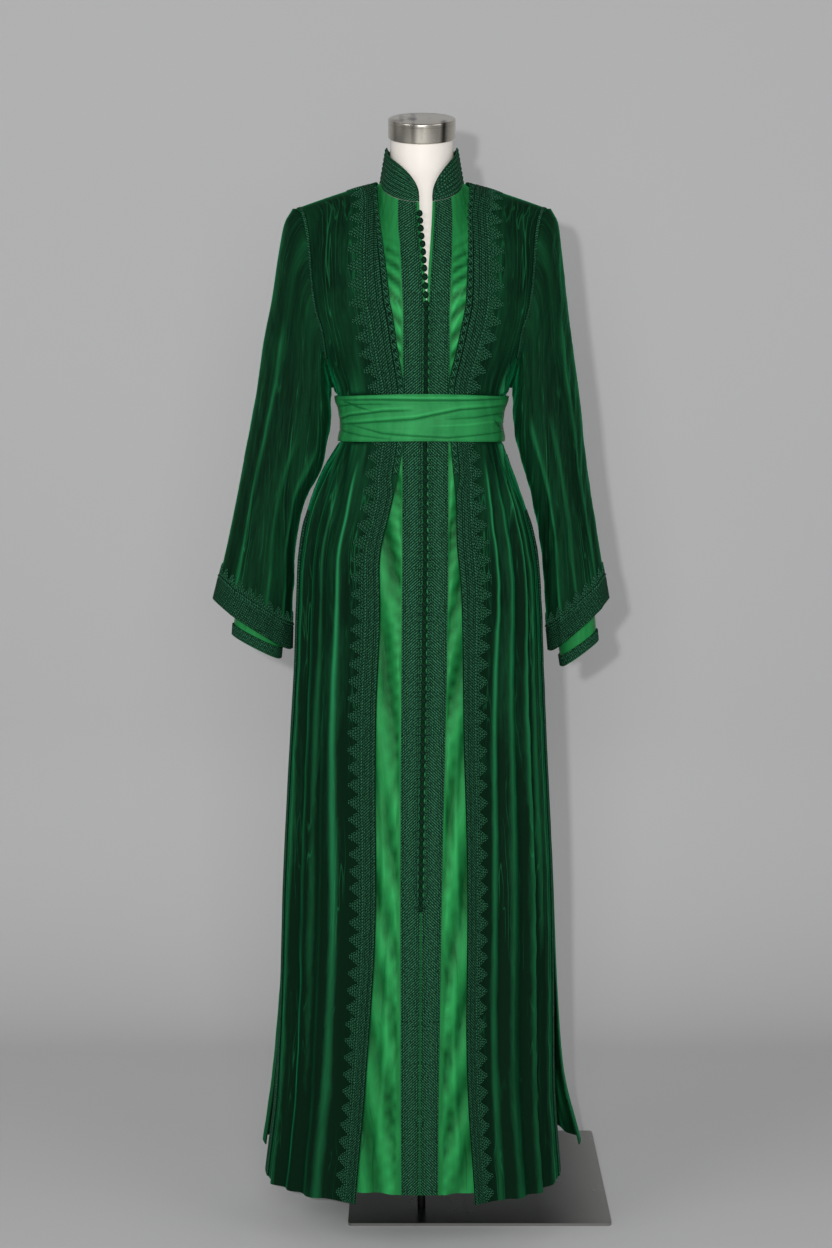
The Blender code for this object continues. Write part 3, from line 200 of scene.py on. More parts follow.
# One ring of a sleeve to a row: out_x out_z in_x in_z front back y, from the shoulder to the mouth
ROBE_SLEEVES = {
    Side.LEFT: np.array(
        [
            [0.1745, 1.4465, 0.1215, 1.2000, 0.064, 0.056, 0.000],
            [0.1890, 1.4300, 0.1270, 1.1850, 0.064, 0.058, 0.002],
            [0.1975, 1.3900, 0.1275, 1.1600, 0.060, 0.058, 0.004],
            [0.2080, 1.3210, 0.1330, 1.1250, 0.056, 0.056, 0.007],
            [0.2190, 1.2660, 0.1430, 1.0850, 0.053, 0.054, 0.009],
            [0.2320, 1.1830, 0.1665, 1.0400, 0.050, 0.052, 0.011],
            [0.2460, 1.1130, 0.1765, 0.9950, 0.048, 0.050, 0.012],
            [0.2600, 1.0430, 0.1815, 0.9450, 0.046, 0.048, 0.012],
            [0.2750, 0.9750, 0.1845, 0.8900, 0.045, 0.046, 0.012],
            [0.2940, 0.9000, 0.1865, 0.8300, 0.044, 0.044, 0.012],
        ]
    ),
    Side.RIGHT: np.array(
        [
            [0.1745, 1.4465, 0.1215, 1.2000, 0.064, 0.056, 0.000],
            [0.1880, 1.4300, 0.1270, 1.1850, 0.064, 0.058, 0.001],
            [0.1935, 1.3900, 0.1285, 1.1600, 0.060, 0.058, 0.002],
            [0.2010, 1.3210, 0.1340, 1.1250, 0.056, 0.056, 0.003],
            [0.2080, 1.2660, 0.1430, 1.0920, 0.053, 0.054, 0.003],
            [0.2200, 1.1830, 0.1560, 1.0500, 0.050, 0.052, 0.003],
            [0.2275, 1.1130, 0.1660, 1.0000, 0.048, 0.050, 0.003],
            [0.2380, 1.0430, 0.1730, 0.9480, 0.046, 0.048, 0.003],
            [0.2500, 0.9750, 0.1765, 0.8900, 0.045, 0.046, 0.003],
            [0.2630, 0.9020, 0.1820, 0.8290, 0.044, 0.044, 0.003],
        ]
    ),
}
DRESS_SLEEVES = {
    Side.LEFT: np.array(
        [
            [0.1705, 1.4415, 0.1165, 1.2370, 0.053, 0.042, 0.000],
            [0.1830, 1.4220, 0.1285, 1.2270, 0.052, 0.042, 0.002],
            [0.1900, 1.3820, 0.1330, 1.1960, 0.049, 0.043, 0.004],
            [0.1995, 1.3140, 0.1390, 1.1500, 0.047, 0.046, 0.007],
            [0.2110, 1.2580, 0.1480, 1.1040, 0.045, 0.046, 0.009],
            [0.2240, 1.1760, 0.1700, 1.0570, 0.042, 0.044, 0.011],
            [0.2370, 1.1040, 0.1815, 1.0100, 0.040, 0.042, 0.012],
            [0.2500, 1.0340, 0.1875, 0.9580, 0.037, 0.039, 0.012],
            [0.2600, 0.9500, 0.1930, 0.8950, 0.032, 0.034, 0.012],
            [0.2680, 0.8500, 0.2020, 0.8160, 0.026, 0.026, 0.012],
        ]
    ),
    Side.RIGHT: np.array(
        [
            [0.1705, 1.4415, 0.1165, 1.2370, 0.053, 0.042, 0.000],
            [0.1825, 1.4220, 0.1285, 1.2270, 0.052, 0.042, 0.001],
            [0.1865, 1.3820, 0.1335, 1.1960, 0.049, 0.043, 0.002],
            [0.1930, 1.3140, 0.1395, 1.1500, 0.047, 0.046, 0.003],
            [0.2000, 1.2580, 0.1480, 1.1100, 0.045, 0.046, 0.003],
            [0.2115, 1.1760, 0.1610, 1.0680, 0.042, 0.044, 0.003],
            [0.2190, 1.1040, 0.1720, 1.0150, 0.040, 0.042, 0.003],
            [0.2290, 1.0340, 0.1790, 0.9620, 0.037, 0.039, 0.003],
            [0.2390, 0.9500, 0.1840, 0.9000, 0.032, 0.034, 0.003],
            [0.2490, 0.8430, 0.1990, 0.8060, 0.026, 0.026, 0.003],
        ]
    ),
}

# One ring of the form's neck to a row: half width, front, back, height and tilt
NECK_ROWS = (
    (0.0485, -0.0520, 0.0460, 1.4850, 0.10),
    (0.0450, -0.0470, 0.0435, 1.5020, 0.10),
    (0.0430, -0.0430, 0.0420, 1.5421, math.tan(HEAD_TILT)),
)


def through(values: Sequence[float] | Numbers, at: Numbers) -> Numbers:
    """Smooth curve through evenly numbered values: a cubic between each two, with its neighbours' slopes.

    Args:
        values: Values at 0, 1, 2 and so on.
        at: Fractional places to read the curve at.

    Returns:
        The curve's value at each place.
    """
    known = np.asarray(values, dtype=float)
    place = np.clip(np.asarray(at, dtype=float), 0.0, len(known) - 1.0)
    first = np.minimum(place.astype(int), len(known) - 2)
    slope = np.gradient(known, axis=0)
    t = (place - first).reshape(place.shape + (1,) * (known.ndim - 1))
    return cubic(known[first], slope[first], known[first + 1], slope[first + 1], t)


def cubic(start: Numbers, leave: Numbers, end: Numbers, arrive: Numbers, t: Numbers) -> Numbers:
    """Cubic from start to end with the given slopes at both, at the share t of the way."""
    rise = t * t * (3.0 - 2.0 * t)
    return start * (1.0 - rise) + end * rise + leave * t * (1.0 - t) ** 2 + arrive * t * t * (t - 1.0)


def ease(t: Numbers) -> Numbers:
    """Smooth step from 0 to 1."""
    t = np.clip(t, 0.0, 1.0)
    return t * t * (3.0 - 2.0 * t)


def hump(distance: Numbers, width: Numbers | float) -> Numbers:
    """Bell of height 1: the exponential of minus the squared distance over the width."""
    return np.exp(-((distance / width) ** 2))


def unit(vectors: Numbers) -> Numbers:
    """Vectors scaled to length one."""
    return vectors / np.maximum(np.linalg.norm(vectors, axis=-1, keepdims=True), 1e-12)


def lengths(points: Numbers, axis: int) -> Numbers:
    """Length travelled along an axis of a grid of points, 0 at its start."""
    steps = np.linalg.norm(np.diff(points, axis=axis), axis=-1)
    start = np.zeros_like(np.take(steps, [0], axis=axis))
    return np.concatenate([start, np.cumsum(steps, axis=axis)], axis=axis)


def read(grid: Numbers, row: Numbers, column: Numbers) -> Numbers:
    """Grid values at fractional rows and columns, mixed from the four corners of each square."""
    low = np.clip(row.astype(int), 0, grid.shape[0] - 2)
    first = np.clip(column.astype(int), 0, grid.shape[1] - 2)
    up, over = row - low, column - first
    if grid.ndim == 3:
        up, over = up[..., None], over[..., None]
    below = grid[low, first] * (1.0 - over) + grid[low, first + 1] * over
    above = grid[low + 1, first] * (1.0 - over) + grid[low + 1, first + 1] * over
    return below * (1.0 - up) + above * up


@dataclass(frozen=True)
class Layer:
    """Front or back shell of a layer: a row for each level, from the hem to the chest."""

    facing: int
    rows: Numbers

    def value(self, column: int, level: Numbers) -> Numbers:
        """One column of the rows at fractional levels."""
        return through(self.rows[:, column], level)

    def ring(self, turn: Numbers, level: Numbers) -> Numbers:
        """Below the chest: an ellipse, a little squared, whose height eases from the middle to the side."""
        z_mid, z_side, left, right, y_mid, y_side = (self.value(column, level) for column in range(6))
        half = (left + right) / 2.0 + (right - left) / 2.0 * np.sin(turn)
        squared = 1.0 + SQUARED * np.sin(2.0 * turn) ** 2
        x = half * np.sin(turn) * squared
        y = y_side + (y_mid - y_side) * np.cos(turn) * squared
        z = z_side + (z_mid - z_side) * np.cos(turn) ** 2
        return np.stack([x, y, z], axis=-1)

    def top(self, turn: Numbers) -> Numbers:
        """Top line: a quarter of the neckline's oval, then a straight shoulder seam out to the sleeve."""
        size = np.abs(turn)
        neck = np.minimum(size / NECK_TURN, 1.0) * math.pi / 2.0
        out = np.maximum((size - NECK_TURN) / (math.pi / 2.0 - NECK_TURN), 0.0)
        depth, middle_z = (-0.070, 1.455) if self.facing < 0 else (0.060, 1.474)
        x = NECK_HALF * np.sin(neck) + (SHOULDER_HALF - NECK_HALF) * out
        gap = SHOULDER_GAP + NECK_CORNER_GAP * hump(size - NECK_TURN, 0.15)
        y = depth * np.cos(neck) + self.facing * gap
        z = middle_z + (NECK_SIDE_Z - middle_z) * (1.0 - np.cos(neck))
        z = z + (SHOULDER_Z - NECK_SIDE_Z) * out + 0.001 * np.sin(math.pi * np.minimum(out, 1.0))
        return np.stack([np.sign(turn) * x, y, z], axis=-1)

    def point(self, turn: Numbers, level: Numbers) -> Numbers:
        """Shell point: the ring up to the chest, then a cubic from there to the top line.

        Args:
            turn: Turn round the body, negative to the left.
            level: Level, 0 at the hem and 15 at the top line.

        Returns:
            Points with one more axis than turn and level.
        """
        turn, level = np.broadcast_arrays(np.asarray(turn, dtype=float), np.asarray(level, dtype=float))
        low = self.ring(turn, np.minimum(level, CHEST))
        start = self.ring(turn, np.full(turn.shape, CHEST))
        before = self.ring(turn, np.full(turn.shape, CHEST - 0.05))
        end = self.top(turn)
        reach = np.linalg.norm(end - start, axis=-1, keepdims=True)
        share = np.abs(turn) / NECK_TURN
        over = ease((share - 0.6) / 1.0)[..., None]
        forward = -self.facing * (0.35 + 0.40 * np.minimum(share, 1.0))
        to_neck = unit(np.stack([np.zeros(turn.shape), forward, np.ones(turn.shape)], axis=-1))
        to_seam = unit(np.array([0.0, -self.facing * 1.0, 0.05]))
        arrive = (to_neck * (1.0 - over) + to_seam * over) * reach
        rise = np.clip(level - CHEST, 0.0, 1.0)[..., None]
        high = cubic(start, unit(start - before) * reach, end, arrive, rise)
        return np.where(level[..., None] <= CHEST, low, high)

    def normal(self, turn: Numbers, level: Numbers) -> Numbers:
        """Outward direction, from small steps along the shell."""
        step = 0.002
        across = self.point(turn + step, level) - self.point(turn - step, level)
        above = self.point(turn, np.minimum(level + step, TOP))
        below = self.point(turn, np.maximum(level - step, 0.0))
        return unit(np.cross(across, above - below)) * -self.facing

    def turn_at(self, side: Side, x: Numbers, levels: Numbers) -> Numbers:
        """Turn, counted positive on its side, at which the shell is a distance x from the middle.

        Args:
            side: Half of the garment.
            x: Distance from X = 0 at each level.
            levels: Levels to look at.

        Returns:
            One turn for each level.
        """
        turns = np.linspace(-0.5, math.pi / 2.0, 240)
        reach = side.value * self.point(side.value * turns[None, :], levels[:, None])[..., 0]
        return np.array([np.interp(one, line, turns) for one, line in zip(x, reach)])

    def side_depth(self, level: Numbers) -> Numbers:
        """Depth of the ring from its side to its middle."""
        return np.abs(self.value(4, level) - self.value(5, level))

    def cloth(self, turns: Numbers, levels: Numbers, lift: Numbers) -> "Surface":
        """Cloth on the shell: a row of turns to a level, moved out by a lift, the top row kept off Y = 0."""
        grid = np.broadcast_to(levels[:, None], turns.shape)
        normals = self.normal(turns, grid)
        points = self.point(turns, grid) + normals * lift[..., None]
        if levels[-1] == TOP:
            depth = points[-1, :, 1] * self.facing
            points[-1, :, 1] = np.maximum(depth, SHOULDER_GAP) * self.facing
        return Surface(points, normals)


@dataclass(frozen=True)
class Surface:
    """Grid of points with the outward direction at each. A closed one ends on its first column again."""

    points: Numbers
    outward: Numbers
    closed: bool = False

    def moved(self, height: Numbers | float) -> "Surface":
        """The same surface moved out by a height at each point."""
        height = np.broadcast_to(height, self.points.shape[:2])
        return replace(self, points=self.points + self.outward * height[..., None])

    def own_normals(self) -> "Surface":
        """The same surface with directions taken from its own squares, by the cross product of its slopes."""
        points = self.points
        if self.closed:
            wide = np.concatenate([points[:, -2:-1], points, points[:, 1:2]], axis=1)
            across = np.gradient(wide, axis=1)[:, 1:-1]
        else:
            across = np.gradient(points, axis=1)
        normals = unit(np.cross(across, np.gradient(points, axis=0)))
        side = np.sign(np.sum(normals * self.outward, axis=-1, keepdims=True))
        return replace(self, outward=normals * np.where(side == 0.0, 1.0, side))

    def at(self, row: Numbers, column: Numbers) -> "Surface":
        """Points and directions at fractional rows and columns."""
        return Surface(read(self.points, row, column), unit(read(self.outward, row, column)))

    def turned(self) -> "Surface":
        """The same surface with rows and columns exchanged."""
        return Surface(self.points.transpose(1, 0, 2), self.outward.transpose(1, 0, 2))

    def flipped(self) -> "Surface":
        """The same surface with its columns in the other order."""
        return replace(self, points=self.points[:, ::-1], outward=self.outward[:, ::-1])


@dataclass(frozen=True)
class Shape:
    """Mesh data: points, four-cornered faces, a map position for each corner, and a tone for each point."""

    points: Numbers
    quads: Whole
    uv: Numbers
    tone: Numbers

    @staticmethod
    def joined(shapes: "Sequence[Shape]") -> "Shape":
        """Several shapes as one."""
        starts = np.cumsum([0] + [len(shape.points) for shape in shapes[:-1]])
        return Shape(
            np.concatenate([shape.points for shape in shapes]),
            np.concatenate([shape.quads + start for shape, start in zip(shapes, starts)]),
            np.concatenate([shape.uv for shape in shapes]),
            np.concatenate([shape.tone for shape in shapes]),
        )


def squares(numbers: Whole) -> Whole:
    """Four-cornered faces of a grid of vertex numbers, in row order."""
    corners = (numbers[:-1, :-1], numbers[:-1, 1:], numbers[1:, 1:], numbers[1:, :-1])
    return np.stack([corner.ravel() for corner in corners], axis=1)


def edge_faces(outer: Whole, inner: Whole) -> Whole:
    """Faces of the rim between an edge of the outer side and the same edge of the inner side."""
    return np.stack([outer[1:], outer[:-1], inner[:-1], inner[1:]], axis=1)


def walled(cloth: Surface, wall: float, tone: Numbers | float = 0.0, uv: Numbers | None = None) -> Shape:
    """Closed cloth wall: the surface, a copy moved in by the wall, and a rim round every open edge.

    Args:
        cloth: Outer side.
        wall: Thickness.
        tone: Tone at each grid point.
        uv: Map positions at each grid point, or None for metres across and along the cloth.

    Returns:
        The wall's mesh data.
    """
    rows, columns = cloth.points.shape[:2]
    kept = columns - 1 if cloth.closed else columns
    if uv is None:
        uv = np.stack([lengths(cloth.points, 1), lengths(cloth.points, 0)], axis=-1)
    numbers = np.arange(rows * kept).reshape(rows, kept)
    if cloth.closed:
        numbers = np.concatenate([numbers, numbers[:, :1]], axis=1)
    places = np.arange(rows * columns).reshape(rows, columns)
    faces, spots = [], []
    for grid, shift, found in ((numbers, rows * kept, faces), (places, 0, spots)):
        inner = grid + shift
        found += [squares(grid), squares(inner)[:, ::-1]]
        found += [edge_faces(grid[0], inner[0]), edge_faces(grid[-1, ::-1], inner[-1, ::-1])]
        if not cloth.closed:
            found += [edge_faces(grid[::-1, 0], inner[::-1, 0]), edge_faces(grid[:, -1], inner[:, -1])]
    quads, corners = np.concatenate(faces), np.concatenate(spots)
    outer = cloth.points[:, :kept].reshape(-1, 3)
    inward = cloth.outward[:, :kept].reshape(-1, 3) * wall
    points = np.concatenate([outer, outer - inward])
    middle = quads[(rows - 1) // 2 * (columns - 1) + (columns - 1) // 2]
    facing = np.cross(points[middle[1]] - points[middle[0]], points[middle[3]] - points[middle[0]])
    if np.dot(facing, inward[middle[0]]) < 0.0:
        quads, corners = quads[:, ::-1], corners[:, ::-1]
    tone = np.broadcast_to(tone, (rows, columns))[:, :kept].ravel()
    return Shape(points, quads, uv.reshape(-1, 2)[corners], np.concatenate([tone, tone]))


def knots(spots: Surface, heading: Numbers, sizes: Numbers, tone: float = 0.6) -> Shape:
    """Rounded knots: a cube's surface pushed out to a ball, stretched, and set at every spot.

    Args:
        spots: Centres and outward directions, in a single row.
        heading: Direction of each knot's length.
        sizes: Half width, half length and half depth of each knot, one row to a knot.
        tone: Tone of every knot.

    Returns:
        All knots as one shape.
    """
    line = np.tan(np.linspace(-1.0, 1.0, 4) * math.pi / 4.0)
    u, v = np.meshgrid(line, line, indexing="ij")
    one = np.ones_like(u)
    sides = [(one, u, v), (-one, v, u), (v, one, u), (u, -one, v), (u, v, one), (v, u, -one)]
    ball = np.concatenate([np.stack(side, axis=-1).reshape(-1, 3) for side in sides])
    faces = np.concatenate([squares(np.arange(16).reshape(4, 4) + 16 * number) for number in range(6)])
    ball, first = np.unique(np.round(unit(ball), 6), axis=0, return_inverse=True)
    faces = first.reshape(-1)[faces]
    centres, outward = spots.points.reshape(-1, 3), spots.outward.reshape(-1, 3)
    heading = unit(heading.reshape(-1, 3))
    across = unit(np.cross(heading, outward))
    ways = np.stack([across, heading, outward], axis=1) * sizes[:, :, None]
    points = centres[:, None] + np.einsum("bk,nkc->nbc", ball, ways)
    shifts = (np.arange(len(centres)) * len(ball))[:, None, None]
    quads = (faces[None] + shifts).reshape(-1, 4)
    facing = np.cross(ball[faces[:, 1]] - ball[faces[:, 0]], ball[faces[:, 3]] - ball[faces[:, 0]])
    uv = np.tile((ball[faces][..., :2] * 0.004)[None], (len(centres), 1, 1, 1)).reshape(-1, 4, 2)
    if np.sum(facing * ball[faces[:, 0]]) * np.dot(np.cross(across[0], heading[0]), outward[0]) < 0.0:
        quads, uv = quads[:, ::-1], uv[:, ::-1]
    return Shape(points.reshape(-1, 3), quads, uv, np.full(points.shape[0] * points.shape[1], tone))


def tubes(lines: Surface, radius: float, sides: int = 6, tone: float = 0.6) -> Shape:
    """Round cords along lines: a ring of points carried along each line, closed flat at open ends.

    Args:
        lines: One line to a row, with the direction away from the cloth at each of its points.
        radius: Radius of the cord.
        sides: Points in a ring, even in number.
        tone: Tone of the cords.

    Returns:
        All cords as one shape.
    """
    count, length = lines.points.shape[:2]
    heading = unit(np.gradient(lines.points, axis=1))
    across = unit(np.cross(heading, lines.outward))
    away = np.cross(across, heading)
    angle = 2.0 * math.pi * np.arange(sides) / sides
    ring = across[:, :, None] * np.cos(angle)[:, None] + away[:, :, None] * np.sin(angle)[:, None]
    points = lines.points[:, :, None] + ring * radius
    numbers = np.arange(points[..., 0].size).reshape(count, length, sides)
    closed = np.concatenate([numbers, numbers[:, :, :1]], axis=2)
    corners = (closed[:, :-1, :-1], closed[:, 1:, :-1], closed[:, 1:, 1:], closed[:, :-1, 1:])
    quads = np.stack([corner.ravel() for corner in corners], axis=1)
    fans = [(0, place, place + 1, place + 2) for place in range(1, sides - 2, 2)]
    start = np.concatenate([numbers[:, 0][:, list(fan)] for fan in fans])
    end = np.concatenate([numbers[:, -1][:, list(fan)[::-1]] for fan in fans])
    quads = np.concatenate([quads, start, end])
    travelled = np.repeat(lengths(lines.points, 1).ravel(), sides)
    round_it = np.tile(angle * radius, count * length)
    uv = np.stack([round_it, travelled], axis=-1)[quads]
    centre = lines.points[0, 0]
    first = points.reshape(-1, 3)[quads[0]]
    if np.dot(np.cross(first[1] - first[0], first[3] - first[0]), first.mean(axis=0) - centre) < 0.0:
        quads, uv = quads[:, ::-1], uv[:, ::-1]
    return Shape(points.reshape(-1, 3), quads, uv, np.full(points[..., 0].size, tone))


@dataclass(frozen=True)
class Cord:
    """One cord of a braid: its centre and width as shares of the braid's width, and its height."""

    centre: float
    width: float
    height: float


@dataclass(frozen=True)
class Edge:
    """Strip of cloth beside an edge. Column 0 of the cloth is the edge, and the zone's columns are even."""

    cloth: Surface
    zone: int
    loop: bool = False

    def line(self) -> Numbers:
        """Length along the middle of the zone at each row."""
        return lengths(self.cloth.points[:, self.zone // 2], 0)

    def places(self, along: Numbers, distance: Numbers, lift: Numbers | float) -> Surface:
        """Places on the cloth, moved out by a lift.

        Args:
            along: Length along the edge.
            distance: Distance from the edge.
            lift: Height above the cloth.

        Returns:
            Points and directions in the shape of along.
        """
        line = self.line()
        numbers = np.arange(len(line), dtype=float)
        if self.loop:
            along = np.mod(along, line[-1])
        row = np.interp(along, line, numbers)
        width = lengths(self.cloth.points[:, :self.zone + 1], 1)[:, -1]
        column = distance / np.interp(row, numbers, width) * self.zone
        spots = self.cloth.at(row, column)
        higher = np.broadcast_to(lift, along.shape)[..., None]
        return Surface(spots.points + spots.outward * higher, spots.outward)


@dataclass(frozen=True)
class Braid:
    """Braid between two distances from an edge, over a stretch of it.

    Places on it are a length along the edge and a share of the way from its inner to its outer line.
    """

    edge: Edge
    start: float
    end: float
    inner: Numbers
    outer: Numbers

    def places(self, along: Numbers, share: Numbers, lift: Numbers | float) -> Surface:
        """Places on the braid at lengths along it and shares across it, pressed flat towards its top."""
        line = self.edge.line()
        inner, outer = np.interp(along, line, self.inner), np.interp(along, line, self.outer)
        pressed = 1.0 if self.edge.loop else 0.35 + 0.65 * ease((self.end - along) / 0.025)
        return self.edge.places(along, inner + (outer - inner) * share, lift * pressed)

    def strip(
        self, cords: Sequence[Cord], low: float, high: float, step: float, fine: float = 0.0006
    ) -> Shape:
        """Corded strip: a flat wall whose outer side rises in a half round over each cord.

        Args:
            cords: Cords across the strip.
            low: Share where the strip starts.
            high: Share where it ends.
            step: Length between its rows.
            fine: Width between its columns.

        Returns:
            The strip as a closed wall.
        """
        width = float(np.mean(self.outer - self.inner))
        share = np.linspace(low, high, max(4, int((high - low) * width / fine)))
        along = np.linspace(self.start, self.end, max(4, int((self.end - self.start) / step)))
        along_grid, share_grid = np.meshgrid(along, share, indexing="ij")
        rise = np.zeros_like(share)
        for cord in cords:
            across = np.clip((share - cord.centre) / (cord.width / 2.0), -1.0, 1.0)
            rise = np.maximum(rise, cord.height * np.sqrt(1.0 - across ** 2))
        spots = self.places(along_grid, share_grid, SEWN_GAP + BRAID_WALL + rise[None, :])
        if self.edge.loop:
            spots = Surface(np.concatenate([spots.points[:-1], spots.points[:1]]), spots.outward)
            spots = replace(spots.turned(), closed=True)
            uv = np.stack([share_grid.T * width, along_grid.T], axis=-1)
            # tone is the cords' height: painted shade on the ground between them
            tone = np.repeat((rise / max(rise.max(), 1e-9))[:, None], len(along), axis=1)
            lowered = rise[:, None] + BRAID_WALL
            return self._wall(spots, lowered, tone, uv)
        uv = np.stack([share_grid * width, along_grid], axis=-1)
        # tone is the cords' height: painted shade on the ground between them
        tone = np.broadcast_to(rise / max(rise.max(), 1e-9), share_grid.shape)
        return self._wall(spots, np.broadcast_to(rise[None, :] + BRAID_WALL, share_grid.shape), tone, uv)

    @staticmethod
    def _wall(spots: Surface, depth: Numbers, tone: Numbers, uv: Numbers) -> Shape:
        """Closed wall whose inner side is flat under the raised cords."""
        depth = np.broadcast_to(depth, spots.points.shape[:2])
        deeper = replace(spots, outward=spots.outward * depth[..., None])
        return walled(deeper, 1.0, tone, uv)

    def _cord(self, along: Numbers, share: Numbers, radius: float, tone: float) -> Shape:
        """One cord through places on the braid."""
        return tubes(self._lines(along[None, :], share[None, :], radius), radius, tone=tone)

    def _lines(self, along: Numbers, share: Numbers, radius: float) -> Surface:
        """Lines of cord that lie on the cloth."""
        return self.places(along, share, SEWN_GAP + radius * 0.9)

    def straight(self, share: float, radius: float, tone: float = 0.9) -> Shape:
        """Cord laid straight along the braid at a share across it."""
        along = np.linspace(self.start, self.end, max(4, int((self.end - self.start) / 0.004)))
        return self._cord(along, np.full(along.shape, share), radius, tone)

    def loops(
        self, centre: float, pitch: float, size: tuple[float, float], radius: float, phase: float = 0.0,
        lift: float = SEWN_GAP
    ) -> Shape:
        """Small loops of cord along the braid: an oval at every pitch.

        Args:
            centre: Share where the loops' centres lie.
            pitch: Length from loop to loop.
            size: Half width and half length of a loop in metres.
            radius: Radius of the cord.
            phase: Share of a pitch by which the loops start later.
            lift: Height of the cord's lower side above the cloth.

        Returns:
            All loops as one shape.
        """
        count = max(1, round((self.end - self.start) / pitch))
        middle = self.start + (self.end - self.start) * (np.arange(count) + phase) / count
        return self._ovals(middle, np.full(count, centre), size, radius, lift)

    def _ovals(
        self, middle: Numbers, centre: Numbers, size: tuple[float, float], radius: float,
        lift: float = SEWN_GAP
    ) -> Shape:
        """Ovals of cord round lengths along the braid and shares across it."""
        width = np.interp(middle, self.edge.line(), self.outer - self.inner)
        angle = np.linspace(0.0, math.tau * 0.97, 9)[None, :]
        along = np.clip(middle[:, None] + size[1] * np.sin(angle), self.start, self.end)
        share = centre[:, None] + (size[0] / width)[:, None] * np.cos(angle)
        return tubes(self.places(along, share, lift + radius * 0.9), radius, sides=4, tone=0.9)

    def lace(self, low: float, high: float, pitch: float, rows: int, radius: float) -> Shape:
        """Triangles of knotwork side by side: rows of small loops, each row a loop shorter than the last.

        Args:
            low: Share of the triangles' feet.
            high: Share of their tips.
            pitch: Length of a triangle's foot.
            rows: Rows of loops.
            radius: Radius of the cord.

        Returns:
            All loops as one shape.
        """
        count = max(1, round((self.end - self.start) / pitch))
        pitch = (self.end - self.start) / count
        spots = [(row, spot - (rows - row - 1) / 2.0) for row in range(rows) for spot in range(rows - row)]
        row, place = np.array(spots).T
        uneven = np.random.default_rng(rows).normal(0.0, 0.10, (2, count, len(row)))
        middle = self.start + pitch * (np.arange(count)[:, None] + 0.5 + (place + uneven[0]) / rows)
        centre = low + (high - low) * (row + 0.5 + uneven[1]) / rows
        width = float(np.mean(self.outer - self.inner)) * (high - low) / rows
        size = (width * 0.52, pitch / rows * 0.46)
        return self._ovals(middle.ravel(), centre.ravel(), size, radius)

    def knots(
        self, share: float, pitch: float, size: tuple[float, float, float], flat: Numbers, tone: float = 0.6
    ) -> Shape:
        """Row of knots along the braid.

        Args:
            share: Place across the braid.
            pitch: Length from knot to knot.
            size: Half width, half length and half depth of a knot.
            flat: Share of the depth that is left at each row of the edge.
            tone: Tone of the knots.

        Returns:
            All knots as one shape.
        """
        count = max(1, round((self.end - self.start) / pitch))
        along = self.start + (self.end - self.start) * (np.arange(count) + 0.5) / count
        sizes = np.tile(np.array(size), (count, 1))
        sizes[:, 2] *= np.interp(along, self.edge.line(), flat)
        lift = SEWN_GAP + sizes[:, 2] * 0.85
        spots = self.places(along, np.full(count, share), lift)
        ahead = self.places(along + 0.001, np.full(count, share), lift)
        return knots(spots, ahead.points - spots.points, sizes, tone)


class Tree:
    """Short ways to add and link the nodes of a node tree."""

    def __init__(self, tree: bpy.types.NodeTree) -> None:
        """Keep the tree.

        Args:
            tree: Node tree to add to.
        """
        self.tree = tree

    def add(self, kind: str, settings: dict[str, object] | None = None, **inputs: object) -> bpy.types.Node:
        """Add a node, set its properties, and set or link its inputs.

        Args:
            kind: Node type without its ShaderNode prefix.
            settings: Properties of the node.
            **inputs: Values or sockets by input name, with _ for a space, or by number as in n0.

        Returns:
            The new node.
        """
        node = self.tree.nodes.new("ShaderNode" + kind)
        for name, value in (settings or {}).items():
            setattr(node, name, value)
        for name, value in inputs.items():
            numbered = name[0] == "n" and name[1:].isdigit()
            socket = node.inputs[int(name[1:])] if numbered else node.inputs[name.replace("_", " ")]
            if isinstance(value, bpy.types.NodeSocket):
                self.tree.links.new(value, socket)
            else:
                socket.default_value = value
        return node

    def math(self, operation: str, first: object, second: object = 0.0) -> bpy.types.NodeSocket:
        """Result of a math node."""
        return self.add("Math", {"operation": operation}, n0=first, n1=second).outputs[0]

    def mix(self, share: object, first: object, second: object) -> bpy.types.NodeSocket:
        """Mix of two colours."""
        return self.add("Mix", {"data_type": "RGBA"}, n0=share, n6=first, n7=second).outputs[2]


